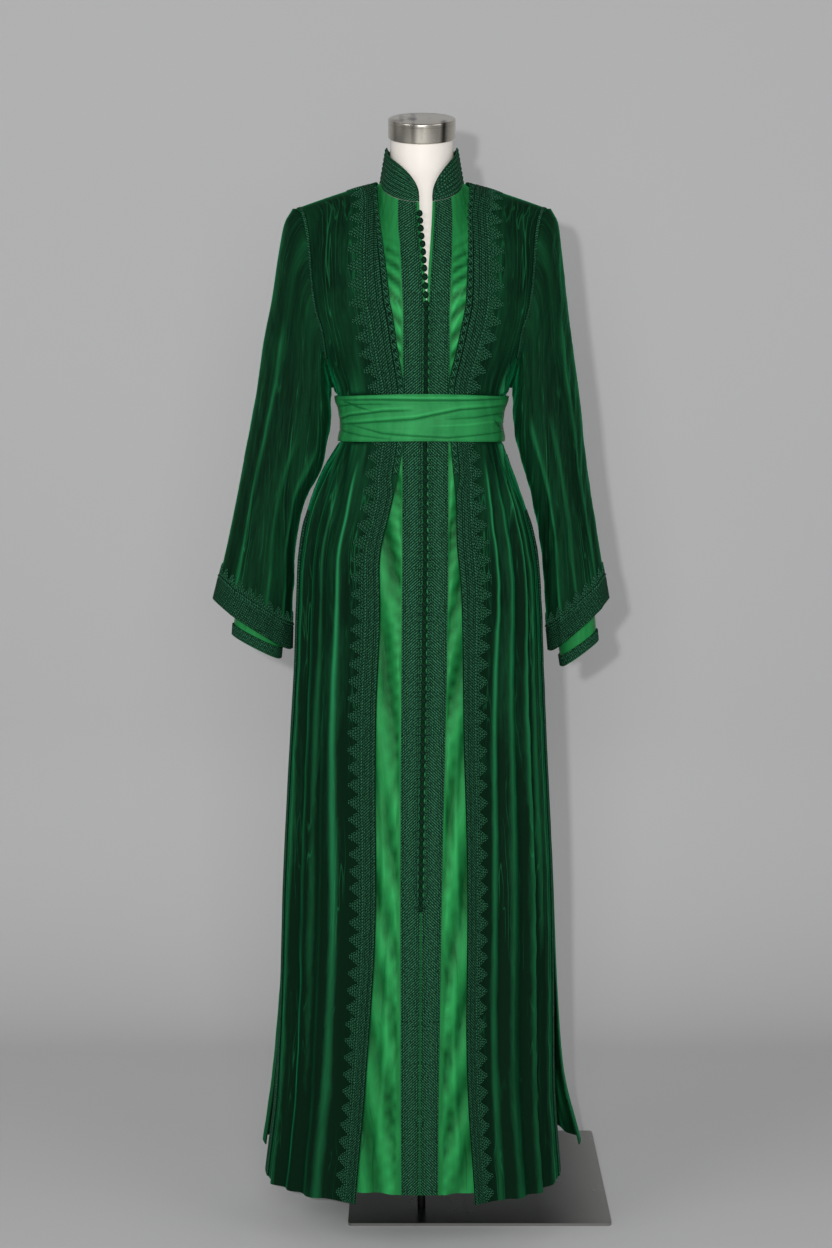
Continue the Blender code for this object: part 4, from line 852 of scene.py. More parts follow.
class Effects:
    """Node groups that more than one finish uses."""

    def __init__(self) -> None:
        """Build each group once."""
        self.crush = self._crush()
        self.creases = self._creases()
        self.weave = self._weave()
        self.stitches = self._stitches()

    @staticmethod
    def _group(
        name: str, inputs: Sequence[str], outputs: Sequence[str]
    ) -> tuple[Tree, bpy.types.Node, bpy.types.Node]:
        """Empty group with its sockets; inputs are floats apart from Vector."""
        group = bpy.data.node_groups.new(name, "ShaderNodeTree")
        for label in inputs:
            kind = "NodeSocketVector" if label == "Vector" else "NodeSocketFloat"
            group.interface.new_socket(label, in_out="INPUT", socket_type=kind)
        for label in outputs:
            group.interface.new_socket(label, in_out="OUTPUT", socket_type="NodeSocketFloat")
        return Tree(group), group.nodes.new("NodeGroupInput"), group.nodes.new("NodeGroupOutput")

    @staticmethod
    def _stretched(tree: Tree, given: bpy.types.Node) -> bpy.types.NodeSocket:
        """The group's vector over its size, and over its stretch too along the second axis."""
        scale = tree.math("DIVIDE", 1.0, given.outputs["Size"])
        longer = tree.math("DIVIDE", scale, given.outputs["Stretch"])
        stretch = tree.add("CombineXYZ", n0=scale, n1=longer, n2=scale).outputs[0]
        vector = given.outputs["Vector"]
        return tree.add("VectorMath", {"operation": "MULTIPLY"}, n0=vector, n1=stretch).outputs[0]

    def _crush(self) -> bpy.types.NodeTree:
        """Uneven pile or soft creases: noise stretched along the cloth, and a finer one on top."""
        tree, given, made = self._group("crush", ("Vector", "Size", "Stretch"), ("Mask", "Fine"))
        spot = self._stretched(tree, given)
        broad = tree.add("TexNoise", Vector=spot, Scale=1.0, Detail=4.0, Roughness=0.6, Distortion=0.6)
        fine = tree.add("TexNoise", Vector=spot, Scale=9.0, Detail=2.0, Roughness=0.6)
        tree.tree.links.new(broad.outputs[0], made.inputs["Mask"])
        tree.tree.links.new(fine.outputs[0], made.inputs["Fine"])
        return tree.tree

    def _creases(self) -> bpy.types.NodeTree:
        """Thin creases: level lines of stretched noise, in loose patches. The mask places painted light:
        highlight lines on the velvet, shaded lines on the satin.
        """
        tree, given, made = self._group("creases", ("Vector", "Size", "Stretch"), ("Mask",))
        spot = self._stretched(tree, given)
        noise = tree.add("TexNoise", Vector=spot, Scale=1.0, Detail=0.6, Distortion=0.35)
        away = tree.math("ABSOLUTE", tree.math("SUBTRACT", noise.outputs[0], 0.5))
        line = tree.add("Clamp", n0=tree.math("SUBTRACT", 1.0, tree.math("MULTIPLY", away, 26.0))).outputs[0]
        patch = tree.add("TexNoise", Vector=spot, Scale=0.30, Detail=2.0)
        above = tree.math("SUBTRACT", patch.outputs[0], 0.50)
        shown = tree.add("Clamp", n0=tree.math("MULTIPLY", above, 6.0))
        tree.tree.links.new(tree.math("MULTIPLY", line, shown.outputs[0]), made.inputs["Mask"])
        return tree.tree

    def _weave(self) -> bpy.types.NodeTree:
        """Crossing threads: two sine waves at right angles, the higher of which shows."""
        tree, given, made = self._group("weave", ("Vector", "Pitch"), ("Height",))
        parts = tree.add("SeparateXYZ", n0=given.outputs["Vector"])
        waves = []
        for part in parts.outputs[:2]:
            angle = tree.math("DIVIDE", tree.math("MULTIPLY", part, math.tau), given.outputs["Pitch"])
            waves.append(tree.math("SINE", angle))
        height = tree.math("MAXIMUM", *waves)
        tree.tree.links.new(height, made.inputs["Height"])
        return tree.tree

    def _stitches(self) -> bpy.types.NodeTree:
        """Twisted cord: slanted beads along the map's second axis, uneven from place to place, and a painted
        glint on the beads' tops in random patches.
        """
        tree, given, made = self._group("stitches", ("Vector", "Pitch", "Slant"), ("Height", "PaintedGlint"))
        parts = tree.add("SeparateXYZ", n0=given.outputs["Vector"])
        slope = tree.math("MULTIPLY", parts.outputs[0], given.outputs["Slant"])
        slanted = tree.math("ADD", parts.outputs[1], slope)
        angle = tree.math("DIVIDE", tree.math("MULTIPLY", slanted, math.tau), given.outputs["Pitch"])
        noise = tree.add("TexNoise", Vector=given.outputs["Vector"], Scale=420.0, Detail=2.0, Roughness=0.7)
        shifted = tree.math("ADD", angle, tree.math("MULTIPLY", noise.outputs[0], 3.0))
        bead = tree.math("MULTIPLY_ADD", tree.math("SINE", shifted), 0.5)
        bead.node.inputs[2].default_value = 0.5
        tree.tree.links.new(bead, made.inputs["Height"])
        # painted glint: the top of each bead lit, only in random patches
        patch = tree.math("SUBTRACT", tree.math("MULTIPLY", noise.outputs[0], 4.0), 1.4)
        painted_glint = tree.math("MULTIPLY", tree.math("POWER", bead, 1.6), tree.add("Clamp", n0=patch).outputs[0])
        tree.tree.links.new(painted_glint, made.inputs["PaintedGlint"])
        return tree.tree


@dataclass(frozen=True)
class VelvetFinish:
    """Silk velvet: dark where seen along the pile, lighter in crushed streaks, with painted highlights on
    crests and crease lines and painted shade in hollows.
    """

    name: str
    dark: tuple[float, float, float]
    light: tuple[float, float, float]

    def material(self, effects: Effects) -> bpy.types.Material:
        """Build the material.

        Args:
            effects: Shared node groups.

        Returns:
            The finish as a material.
        """
        material, tree, shader = new_material(self.name)
        spot = tree.add("UVMap").outputs[0]
        crush = tree.add("Group", {"node_tree": effects.crush}, Vector=spot, Size=0.005, Stretch=9.0)
        broad = tree.add("Group", {"node_tree": effects.crush}, Vector=spot, Size=0.050, Stretch=4.5)
        # tone: painted light and shade, highlights on fold crests and gathers, shade in hollows and towards
        # the hem
        tone = tree.add("Attribute", {"attribute_name": "tone"}).outputs["Fac"]
        fine = tree.math("MULTIPLY", tree.math("SUBTRACT", crush.outputs["Mask"], 0.50), 0.26)
        wide = tree.math("MULTIPLY", tree.math("SUBTRACT", broad.outputs["Mask"], 0.38), 0.55)
        creases = tree.add("Group", {"node_tree": effects.creases}, Vector=spot, Size=0.008, Stretch=11.0)
        # painted highlight lines along thin creases, added to the pile's random tone
        lines = tree.math("MULTIPLY", creases.outputs["Mask"], 0.42)
        pile_and_painted_lines = tree.math("ADD", tree.math("ADD", fine, wide), lines)
        share = tree.add("Clamp", n0=tree.math("ADD", tone, pile_and_painted_lines)).outputs[0]
        colour = tree.mix(share, (*self.dark, 1.0), (*self.light, 1.0))
        tree.tree.links.new(colour, shader.inputs["Base Color"])
        rough = tree.math("MULTIPLY_ADD", crush.outputs["Fine"], 0.20)
        rough.node.inputs[2].default_value = 0.62
        tree.tree.links.new(rough, shader.inputs["Roughness"])
        height = tree.math("ADD", broad.outputs["Mask"], tree.math("MULTIPLY", crush.outputs["Fine"], 0.12))
        bump = tree.add("Bump", Strength=0.22, Distance=0.006, Height=height).outputs[0]
        tree.tree.links.new(bump, shader.inputs["Normal"])
        shader.inputs["Sheen Weight"].default_value = 0.45
        shader.inputs["Sheen Roughness"].default_value = 0.30
        shader.inputs["Sheen Tint"].default_value = (0.006, 0.42, 0.14, 1.0)
        shader.inputs["Specular IOR Level"].default_value = 0.04
        return material


@dataclass(frozen=True)
class SatinFinish:
    """Satin: vivid, with a soft gloss, a fine weave, painted shade along faint crease lines and painted light
    and shade from the tone attribute.
    """

    name: str
    dark: tuple[float, float, float]
    light: tuple[float, float, float]
    roughness: float
    crease_shade: float

    def material(self, effects: Effects) -> bpy.types.Material:
        """Build the material.

        Args:
            effects: Shared node groups.

        Returns:
            The finish as a material.
        """
        material, tree, shader = new_material(self.name)
        spot = tree.add("UVMap").outputs[0]
        crush = tree.add("Group", {"node_tree": effects.crush}, Vector=spot, Size=0.030, Stretch=4.0)
        weave = tree.add("Group", {"node_tree": effects.weave}, Vector=spot, Pitch=0.0006)
        # tone: painted highlights on puckers, folds and crease ridges, painted shade in their hollows
        tone = tree.add("Attribute", {"attribute_name": "tone"}).outputs["Fac"]
        creases = tree.add("Group", {"node_tree": effects.creases}, Vector=spot, Size=0.014, Stretch=9.0)
        # painted shade: darker along thin crease lines, taken off the random streaks
        lines = tree.math("MULTIPLY", creases.outputs["Mask"], self.crease_shade)
        streak_and_crease_shade = tree.math("MULTIPLY", tree.math("SUBTRACT", crush.outputs["Mask"], 0.5), 1.1)
        streak_and_crease_shade = tree.math("SUBTRACT", streak_and_crease_shade, lines)
        share = tree.add("Clamp", n0=tree.math("ADD", tree.math("ADD", tone, 0.45), streak_and_crease_shade)).outputs[0]
        colour = tree.mix(share, (*self.dark, 1.0), (*self.light, 1.0))
        tree.tree.links.new(colour, shader.inputs["Base Color"])
        rough = tree.math("MULTIPLY_ADD", weave.outputs["Height"], 0.04)
        rough.node.inputs[2].default_value = self.roughness
        tree.tree.links.new(rough, shader.inputs["Roughness"])
        height = tree.math("ADD", crush.outputs["Mask"], tree.math("MULTIPLY", weave.outputs["Height"], 0.02))
        bump = tree.add("Bump", Strength=0.30, Distance=0.006, Height=height).outputs[0]
        tree.tree.links.new(bump, shader.inputs["Normal"])
        shader.inputs["Specular IOR Level"].default_value = 0.20
        shader.inputs["Specular Tint"].default_value = (0.45, 1.0, 0.55, 1.0)
        return material


@dataclass(frozen=True)
class CordFinish:
    """Hand-knotted silk cord: painted glints on its thread beads over a ground darkened by painted shade
    between the cords.
    """

    name: str
    dark: tuple[float, float, float]
    light: tuple[float, float, float]

    def material(self, effects: Effects) -> bpy.types.Material:
        """Build the material.

        Args:
            effects: Shared node groups.

        Returns:
            The finish as a material.
        """
        material, tree, shader = new_material(self.name)
        spot = tree.add("UVMap").outputs[0]
        stitches = tree.add("Group", {"node_tree": effects.stitches}, Vector=spot, Pitch=0.0040, Slant=0.9)
        # tone: painted shade, low on the ground between the cords of the strips and the collar
        tone = tree.add("Attribute", {"attribute_name": "tone"}).outputs["Fac"]
        lit = tree.math("ADD", tree.math("MULTIPLY", stitches.outputs["PaintedGlint"], 1.5), 0.03)
        share = tree.math("MULTIPLY", tone, lit)
        colour = tree.mix(tree.add("Clamp", n0=share).outputs[0], (*self.dark, 1.0), (*self.light, 1.0))
        tree.tree.links.new(colour, shader.inputs["Base Color"])
        rough = tree.math("MULTIPLY_ADD", stitches.outputs["Height"], -0.15)
        rough.node.inputs[2].default_value = 0.72
        tree.tree.links.new(rough, shader.inputs["Roughness"])
        bump = tree.add("Bump", Strength=0.8, Distance=0.0008, Height=stitches.outputs["Height"]).outputs[0]
        tree.tree.links.new(bump, shader.inputs["Normal"])
        shader.inputs["Specular IOR Level"].default_value = 0.03
        return material


@dataclass(frozen=True)
class SkinFinish:
    """Smooth coated fibreglass of the dress form."""

    name: str
    colour: tuple[float, float, float]

    def material(self, effects: Effects) -> bpy.types.Material:
        """Build the material.

        Args:
            effects: Shared node groups.

        Returns:
            The finish as a material.
        """
        material, tree, shader = new_material(self.name)
        spot = tree.add("TexCoord").outputs["Object"]
        crush = tree.add("Group", {"node_tree": effects.crush}, Vector=spot, Size=0.05, Stretch=1.0)
        darker = tuple(part * 0.93 for part in self.colour)
        colour = tree.mix(crush.outputs["Mask"], (*self.colour, 1.0), (*darker, 1.0))
        tree.tree.links.new(colour, shader.inputs["Base Color"])
        bump = tree.add("Bump", Strength=0.06, Distance=0.001, Height=crush.outputs["Fine"]).outputs[0]
        tree.tree.links.new(bump, shader.inputs["Normal"])
        shader.inputs["Roughness"].default_value = 0.42
        return material


@dataclass(frozen=True)
class SteelFinish:
    """Brushed steel: fine scratches along one axis, uneven in gloss, with painted reflections: dark noise
    patches, a lighter colour past an X, and a painted highlight below a rim height.
    """

    name: str
    colour: tuple[float, float, float]
    roughness: float
    grain: tuple[float, float, float]
    reflection_bands: tuple[float, float, float]
    depth: float
    reflection_colour: tuple[float, float, float]
    reflection_x: float
    rim_highlight_z: float

    def material(self, effects: Effects) -> bpy.types.Material:
        """Build the material.

        Args:
            effects: Shared node groups.

        Returns:
            The finish as a material.
        """
        material, tree, shader = new_material(self.name)
        spot = tree.add("TexCoord").outputs["Object"]
        drawn = tree.add("VectorMath", {"operation": "MULTIPLY"}, n0=spot, n1=self.grain).outputs[0]
        scratch = tree.add("TexNoise", Vector=drawn, Scale=1.0, Detail=6.0, Roughness=0.75)
        crush = tree.add("Group", {"node_tree": effects.crush}, Vector=spot, Size=0.12, Stretch=1.0)
        darker = tuple(part * 0.72 for part in self.colour)
        colour = tree.mix(scratch.outputs[0], (*self.colour, 1.0), (*darker, 1.0))
        # painted reflection: dark patches of stretched noise
        wide = tree.add("VectorMath", {"operation": "MULTIPLY"}, n0=spot, n1=self.reflection_bands).outputs[0]
        band = tree.add("TexNoise", Vector=wide, Scale=1.0, Detail=1.0)
        reflection_band_mask = tree.add("Clamp", n0=tree.math("MULTIPLY", tree.math("SUBTRACT", band.outputs[0], 0.45), 5.0))
        reflection_band_colour = tuple(part * self.depth for part in self.colour)
        colour = tree.mix(reflection_band_mask.outputs[0], colour, (*reflection_band_colour, 1.0))
        # painted reflection to the right of a given X, and a painted highlight on the rim below a given height
        parts = tree.add("SeparateXYZ", n0=spot)
        right = tree.math("MULTIPLY", tree.math("SUBTRACT", parts.outputs[0], self.reflection_x), 7.0)
        rim = tree.math("MULTIPLY", tree.math("SUBTRACT", self.rim_highlight_z, parts.outputs[2]), 4000.0)
        lit = tree.add("Clamp", n0=tree.math("MAXIMUM", right, rim)).outputs[0]
        colour = tree.mix(lit, colour, (*self.reflection_colour, 1.0))
        tree.tree.links.new(colour, shader.inputs["Base Color"])
        rough = tree.math("MULTIPLY_ADD", crush.outputs["Mask"], 0.14)
        rough.node.inputs[2].default_value = self.roughness
        tree.tree.links.new(rough, shader.inputs["Roughness"])
        bump = tree.add("Bump", Strength=0.10, Distance=0.0004, Height=scratch.outputs[0]).outputs[0]
        tree.tree.links.new(bump, shader.inputs["Normal"])
        shader.inputs["Metallic"].default_value = 1.0
        return material


def new_material(name: str) -> tuple[bpy.types.Material, Tree, bpy.types.Node]:
    """Material with a Principled shader.

    Args:
        name: Name of the material.

    Returns:
        The material, its tree and its shader.
    """
    material = bpy.data.materials.new(name)
    material.use_nodes = True
    return material, Tree(material.node_tree), material.node_tree.nodes["Principled BSDF"]


class Finish(Protocol):
    """Anything with a name that builds a material."""

    name: str

    def material(self, effects: Effects) -> bpy.types.Material:
        """Build the material."""


class Workshop:
    """Makes pieces from shapes: names them, dresses them and ties them to the frame."""

    def __init__(self, effects: Effects, finishes: Sequence[Finish]) -> None:
        """Build every finish.

        Args:
            effects: Shared node groups.
            finishes: Finish descriptions.
        """
        self.materials = {finish.name: finish.material(effects) for finish in finishes}

    def cloth(self, name: str, shape: Shape, finish: str, node: str) -> bpy.types.Object:
        """Make a cloth piece in place of a CAD node."""
        return self.piece(name, shape, finish, finish, [node])

    def cords(self, name: str, shapes: Sequence[Shape], node: str) -> bpy.types.Object:
        """Make a piece of cord work in place of a CAD node."""
        return self.piece(name, Shape.joined(shapes), "braid", "braid", [node])

    def piece(
        self, name: str, shape: Shape, finish: str, slot: str, stands_for: Sequence[str]
    ) -> bpy.types.Object:
        """Make a piece of the object.

        Args:
            name: Name of the piece.
            shape: Its mesh data.
            finish: Name of its finish.
            slot: The record's material slot; not used.
            stands_for: CAD nodes that it replaces.

        Returns:
            The new object, riding on the frame.
        """
        mesh = bpy.data.meshes.new(name)
        mesh.vertices.add(len(shape.points))
        mesh.vertices.foreach_set("co", shape.points.astype(np.float32).ravel())
        mesh.loops.add(shape.quads.size)
        mesh.loops.foreach_set("vertex_index", shape.quads.astype(np.int32).ravel())
        mesh.polygons.add(len(shape.quads))
        mesh.polygons.foreach_set("loop_start", np.arange(0, shape.quads.size, 4, dtype=np.int32))
        mesh.update(calc_edges=True)
        layer = mesh.uv_layers.new(name="UVMap")
        layer.uv.foreach_set("vector", shape.uv.astype(np.float32).ravel())
        # tone: per-point level that the finishes mix into colour; on cloth and in cord strips it holds painted
        # light and shade
        tone = mesh.attributes.new("tone", "FLOAT", "POINT")
        tone.data.foreach_set("value", shape.tone.astype(np.float32))
        mesh.shade_smooth()
        mesh.set_sharp_from_angle(angle=math.radians(62.0))
        return self.adopt(name, mesh, finish, slot, stands_for)

    def adopt(
        self, name: str, mesh: bpy.types.Mesh, finish: str, slot: str, stands_for: Sequence[str]
    ) -> bpy.types.Object:
        """Make a piece from a finished mesh.

        Args:
            name: Name of the piece.
            mesh: Its mesh.
            finish: Name of its finish.
            slot: The record's material slot; not used.
            stands_for: CAD nodes that it replaces.

        Returns:
            The new object, riding on the frame.
        """
        mesh.materials.clear()
        mesh.materials.append(self.materials[finish])
        piece = bpy.data.objects.new(name, mesh)
        bpy.context.scene.collection.objects.link(piece)
        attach(piece, "root")
        if stands_for:
            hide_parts(*stands_for)
        LOG.info("%s: %d faces", name, len(mesh.polygons))
        return piece


def declare_cloth(
    cloth: Surface,
) -> None:
    """Work out a cloth piece's cut: its longest width and length, and its flat area; nothing is kept or
    returned.

    Args:
        cloth: Its surface.
    """
    width = float(lengths(cloth.points, 1)[:, -1].max())
    length = float(lengths(cloth.points, 0)[-1].max())
    over = cloth.points[1:, :-1] - cloth.points[:-1, :-1]
    up = cloth.points[:-1, 1:] - cloth.points[:-1, :-1]
    area = float(np.linalg.norm(np.cross(over, up), axis=-1).sum())
    area = min(max(area, 0.31 * width * length), width * length)


def level_rows(skirt: int, waist: int, shoulder: int) -> Numbers:
    """Levels of a panel's rows: so many squares to the sash, from there to the chest, and to the top."""
    parts = (np.linspace(0.0, SKIRT_END, skirt + 1), np.linspace(SKIRT_END, CHEST, waist + 1))
    return np.concatenate([parts[0][:-1], parts[1][:-1], np.linspace(CHEST, TOP, shoulder + 1)])


def side_turn(levels: Numbers) -> Numbers:
    """Turn of a panel's side edge at each level."""
    return np.radians(through(SIDE_TURN, levels)) - SEAM_TURN


def spread(columns: Numbers, places: Numbers) -> Numbers:
    """Turns at fractional places between a table's columns, one row to a level."""
    first = np.minimum(places.astype(int), columns.shape[1] - 2)
    over = places - first
    return columns[:, first] * (1.0 - over) + columns[:, first + 1] * over


def fold_wave(count: int, phase: float) -> Numbers:
    """Heights of crests and hollows at alternate columns, uneven, and fading towards both ends."""
    places = np.arange(count)
    wave = np.where(places % 2 == 0, -1.0, 1.0) * (0.78 + 0.30 * np.sin(1.9 * places + phase))
    return wave * ease((places + 1.0) / 2.0) * ease((count - places) / 3.0)


def evenly(points: Numbers, count: int) -> Numbers:
    """The same line with a number of evenly spaced points."""
    travelled = lengths(points, 0)
    wanted = np.linspace(0.0, travelled[-1], count)
    return np.stack([np.interp(wanted, travelled, points[:, axis]) for axis in range(3)], axis=1)


@dataclass(frozen=True)
class Fold:
    """Long ridge in a panel: its place across as a share, its half width, height, levels and the tone of its
    painted highlight.
    """

    share: float
    width: float
    height: float
    low: float
    high: float
    tone: float

    def over(self, across: Numbers, width: Numbers, levels: Numbers) -> tuple[Numbers, Numbers]:
        """Height and tone at every point: a bell over the distance from the ridge, which wanders a little; the
        tone is a painted highlight along the crest.

        Args:
            across: Share of the way across the panel at each point.
            width: Width of the panel at each level.
            levels: Levels of the rows.

        Returns:
            The ridge's height and its painted highlight.
        """
        wander = 0.010 * np.sin(1.3 * levels + 9.0 * self.share) * (1.0 - levels / TOP)
        distance = (across - self.share - wander[:, None]) * width[:, None]
        fade = (ease((levels - self.low) / 0.8) * ease((self.high - levels) / 1.2))[:, None]
        softer = ease(1.0 - levels / 8.0)[:, None]
        height = self.height * hump(distance, self.width * (1.0 + 0.7 * softer)) * fade
        return height, self.tone * hump(distance, 0.0016 + 0.0050 * softer) * (1.0 - 0.25 * softer) * fade


@dataclass(frozen=True)
class Crease:
    """Ridge or groove along a line of (X, Z) points: a bell over the distance from it, faded at its ends; its
    tone is painted highlight on a ridge and painted shade in a groove.
    """

    line: tuple[tuple[float, float], ...]
    width: float
    height: float
    tone: float = 0.0

    def over(self, points: Numbers) -> tuple[Numbers, Numbers]:
        """Height and tone at every point; the tone is the crease's painted light and shade.

        Args:
            points: Grid of cloth points.

        Returns:
            The crease's height and its tone.
        """
        spots = np.array(self.line)
        flat = points[..., [0, 2]]
        nearest, place = np.full(flat.shape[:2], 1.0), np.zeros(flat.shape[:2])
        for number, (start, end) in enumerate(zip(spots[:-1], spots[1:])):
            way = end - start
            share = np.clip((flat - start) @ way / (way @ way), 0.0, 1.0)
            distance = np.linalg.norm(flat - start - share[..., None] * way, axis=-1)
            place = np.where(distance < nearest, (number + share) / (len(spots) - 1), place)
            nearest = np.minimum(distance, nearest)
        fade = np.sqrt(np.maximum(4.0 * place * (1.0 - place), 0.0))
        narrow = hump(nearest, self.width * 0.6)
        return self.height * hump(nearest, self.width) * fade, self.tone * narrow * fade


def gathers(across: Numbers, levels: Numbers, seed: int, count: int, height: float) -> Numbers:
    """Short ridges that run up and down from the sash: a bell across each, fading away from the sash.

    Args:
        across: Length across the panel at each point.
        levels: Levels of the rows.
        seed: Seed of the ridges' places and sizes.
        count: Number of ridges.
        height: Height of the highest ridge.

    Returns:
        Height at every point.
    """
    chance = np.random.default_rng(seed)
    below = np.maximum(SASH_LOW - levels, 0.0)
    above = np.maximum(levels - SASH_HIGH, 0.0)
    total = np.zeros(across.shape)
    for spot, size, run, tall in chance.random((count, 4)):
        centre = spot * across.max()
        near = hump(across - centre, 0.0022 + 0.0035 * size)
        fade = np.exp(-((below / (0.35 + 1.3 * run)) ** 2) - (above / (0.3 + 0.9 * run)) ** 2)
        total += near * (fade * (0.35 + 0.65 * tall))[:, None]
    started = np.clip((below + above) / 0.12, 0.0, 1.0)
    return height * (total - 0.35 * fade[:, None]) * started[:, None]


def ripples(first: Numbers, second: Numbers, seed: int, size: float, height: float) -> Numbers:
    """Uneven lie of cloth: five slow sine waves of random direction and phase, added up.

    Args:
        first: Length across the cloth.
        second: Length along the cloth.
        seed: Seed of the waves.
        size: Length of the longest wave.
        height: Greatest height.

    Returns:
        Height at every point.
    """
    chance = np.random.default_rng(seed)
    total = np.zeros(np.broadcast(first, second).shape)
    for turn, phase, share in chance.random((5, 3)):
        angle, wave = math.pi * turn, size * (0.45 + 0.55 * share)
        total += np.sin(math.tau * ((first * math.cos(angle) + second * math.sin(angle)) / wave + phase))
    return height * total / 5.0


@dataclass(frozen=True)
class Sewn:
    """A panel as it is dressed: its cloth, its tone of painted light and shade, and the columns under the
    braid at either edge.
    """

    cloth: Surface
    tone: Numbers
    inner_zone: int
    outer_zone: int

    def inner_edge(self) -> Edge:
        """The edge at its first column."""
        return Edge(self.cloth, self.inner_zone)

    def outer_edge(self) -> Edge:
        """The edge at its last column."""
        return Edge(self.cloth.flipped(), self.outer_zone)

    def with_relief(self, reliefs: Sequence[tuple[Numbers, Numbers]]) -> "Sewn":
        """The same panel with heights and tones added."""
        height = sum(relief[0] for relief in reliefs)
        tone = self.tone + sum(relief[1] for relief in reliefs)
        return replace(self, cloth=self.cloth.moved(height), tone=tone)


@dataclass(frozen=True)
class Sleeves:
    """Sleeve of one layer: its ring tables, wall, fold height and where its braid ends."""

    tables: dict[Side, Numbers]
    underarm: float
    fold: float
    zone_start: float
    sides: int = 96
    zone: int = 24
    seam_gap: float = 0.0006
    seam_run: float = 0.0040
    first: float = 0.8

    def rings(self, side: Side, places: Numbers) -> Numbers:
        """Oval rings at fractional places in the table: out and in along X and Z, front and back along Y."""
        rows = through(self.tables[side], places)[:, None, :]
        angle = math.tau * np.arange(self.sides) / self.sides
        squared = 1.0 + SQUARED * np.sin(2.0 * angle) ** 2
        swing = (1.0 + np.cos(angle) * squared) / 2.0
        depth = np.where(np.sin(angle) > 0.0, rows[..., 4], rows[..., 5])
        x = rows[..., 2] + (rows[..., 0] - rows[..., 2]) * swing
        z = rows[..., 3] + (rows[..., 1] - rows[..., 3]) * swing
        return np.stack([side.value * x, rows[..., 6] - depth * np.sin(angle) * squared, z], axis=-1)

    def loop(self, front: Surface, back: Surface, levels: Sequence[Numbers], side: Side) -> Numbers:
        """Sleeve seam: from the shoulder down the front panel's edge to the underarm, and up the back's."""
        low, back_low = (int(np.argmin(np.abs(rows - self.underarm))) for rows in levels)
        back_edge = back.points[back_low:, 0 if side is Side.LEFT else -1]
        half = self.sides // 2
        down, up = evenly(front.points[low:, -1][::-1], half + 1), evenly(back_edge, half + 1)
        tip, seam = (down[0] + up[-1]) / 2.0, (down[-1] + up[0]) / 2.0
        return np.concatenate([[tip], down[1:-1], [seam], up[1:-1]])

    def sewn(
        self, side: Side, seam: Numbers, ridges: Sequence[Fold], seed: int
    ) -> tuple[Surface, Numbers]:
        """Sleeve from its seam to its mouth.

        Args:
            side: Half of the garment.
            seam: Loop of points round the armhole.
            ridges: Folds by share round the sleeve, with places in its table as levels.
            seed: Seed of the uneven lie.

        Returns:
            The sleeve's surface and its tone, the painted highlights along its ridges.
        """
        run = np.array([side.value, 0.0, 0.0])
        upper = np.linspace(self.first, self.zone_start, 150)[:-1]
        places = np.concatenate([upper, np.linspace(self.zone_start, 9.0, self.zone + 1)])
        rings = self.rings(side, places)
        difference = seam - self.rings(side, np.array([0.0]))[0]
        rings = rings + difference * (1.0 - ease(places / 3.0))[:, None, None]
        start, second = seam + run * self.seam_gap, seam + run * (self.seam_gap + self.seam_run)
        between = second + (rings[0] - second) * np.linspace(0.0, 1.0, 8)[1:-1, None, None]
        points = np.concatenate([[start], [second], between, rings])
        places = np.concatenate([np.linspace(0.0, self.first, 9)[:-1], places])
        points = np.concatenate([points, points[:, :1]], axis=1)
        centres = points[:, :-1].mean(axis=1, keepdims=True)
        surface = Surface(points, unit(points - centres), closed=True).own_normals()

        column = np.arange(self.sides + 1) * 16.0 / self.sides
        uneven = 0.7 + 0.3 * np.sin(math.tau * (column + 1.0) / 16.0)
        strength = ease(places / 4.0) * (1.0 - 0.4 * ease((places - 7.0) / 2.0))
        lift = self.fold * strength[:, None] * np.cos(math.tau * 4.0 * (column + 0.5) / 16.0) * uneven
        tone = np.zeros(lift.shape)
        girth = lengths(points, 1)[:, -1]
        for ridge in ridges:
            for turn in (0.0, 1.0, -1.0):
                more, light = replace(ridge, share=ridge.share + turn).over(column / 16.0, girth, places)
                lift, tone = lift + more, tone + light
        across, down = lengths(points, 1), lengths(points, 0)
        slow = ripples(across, down, seed, 0.070, 0.0016) + ripples(across, down, seed + 1, 0.028, 0.0005)
        closing = np.sin(math.pi * column / 16.0) ** 0.25
        slow = slow * closing * ease(places / 1.5)[:, None]
        lift = lift + slow * (1.0 - ease((places - 7.6) / 0.8))[:, None]
        return surface.moved(lift).own_normals(), tone

    def mouth(self, surface: Surface) -> Edge:
        """The sleeve's mouth as an edge, with its rows going round."""
        return Edge(surface.turned().flipped(), self.zone, loop=True)


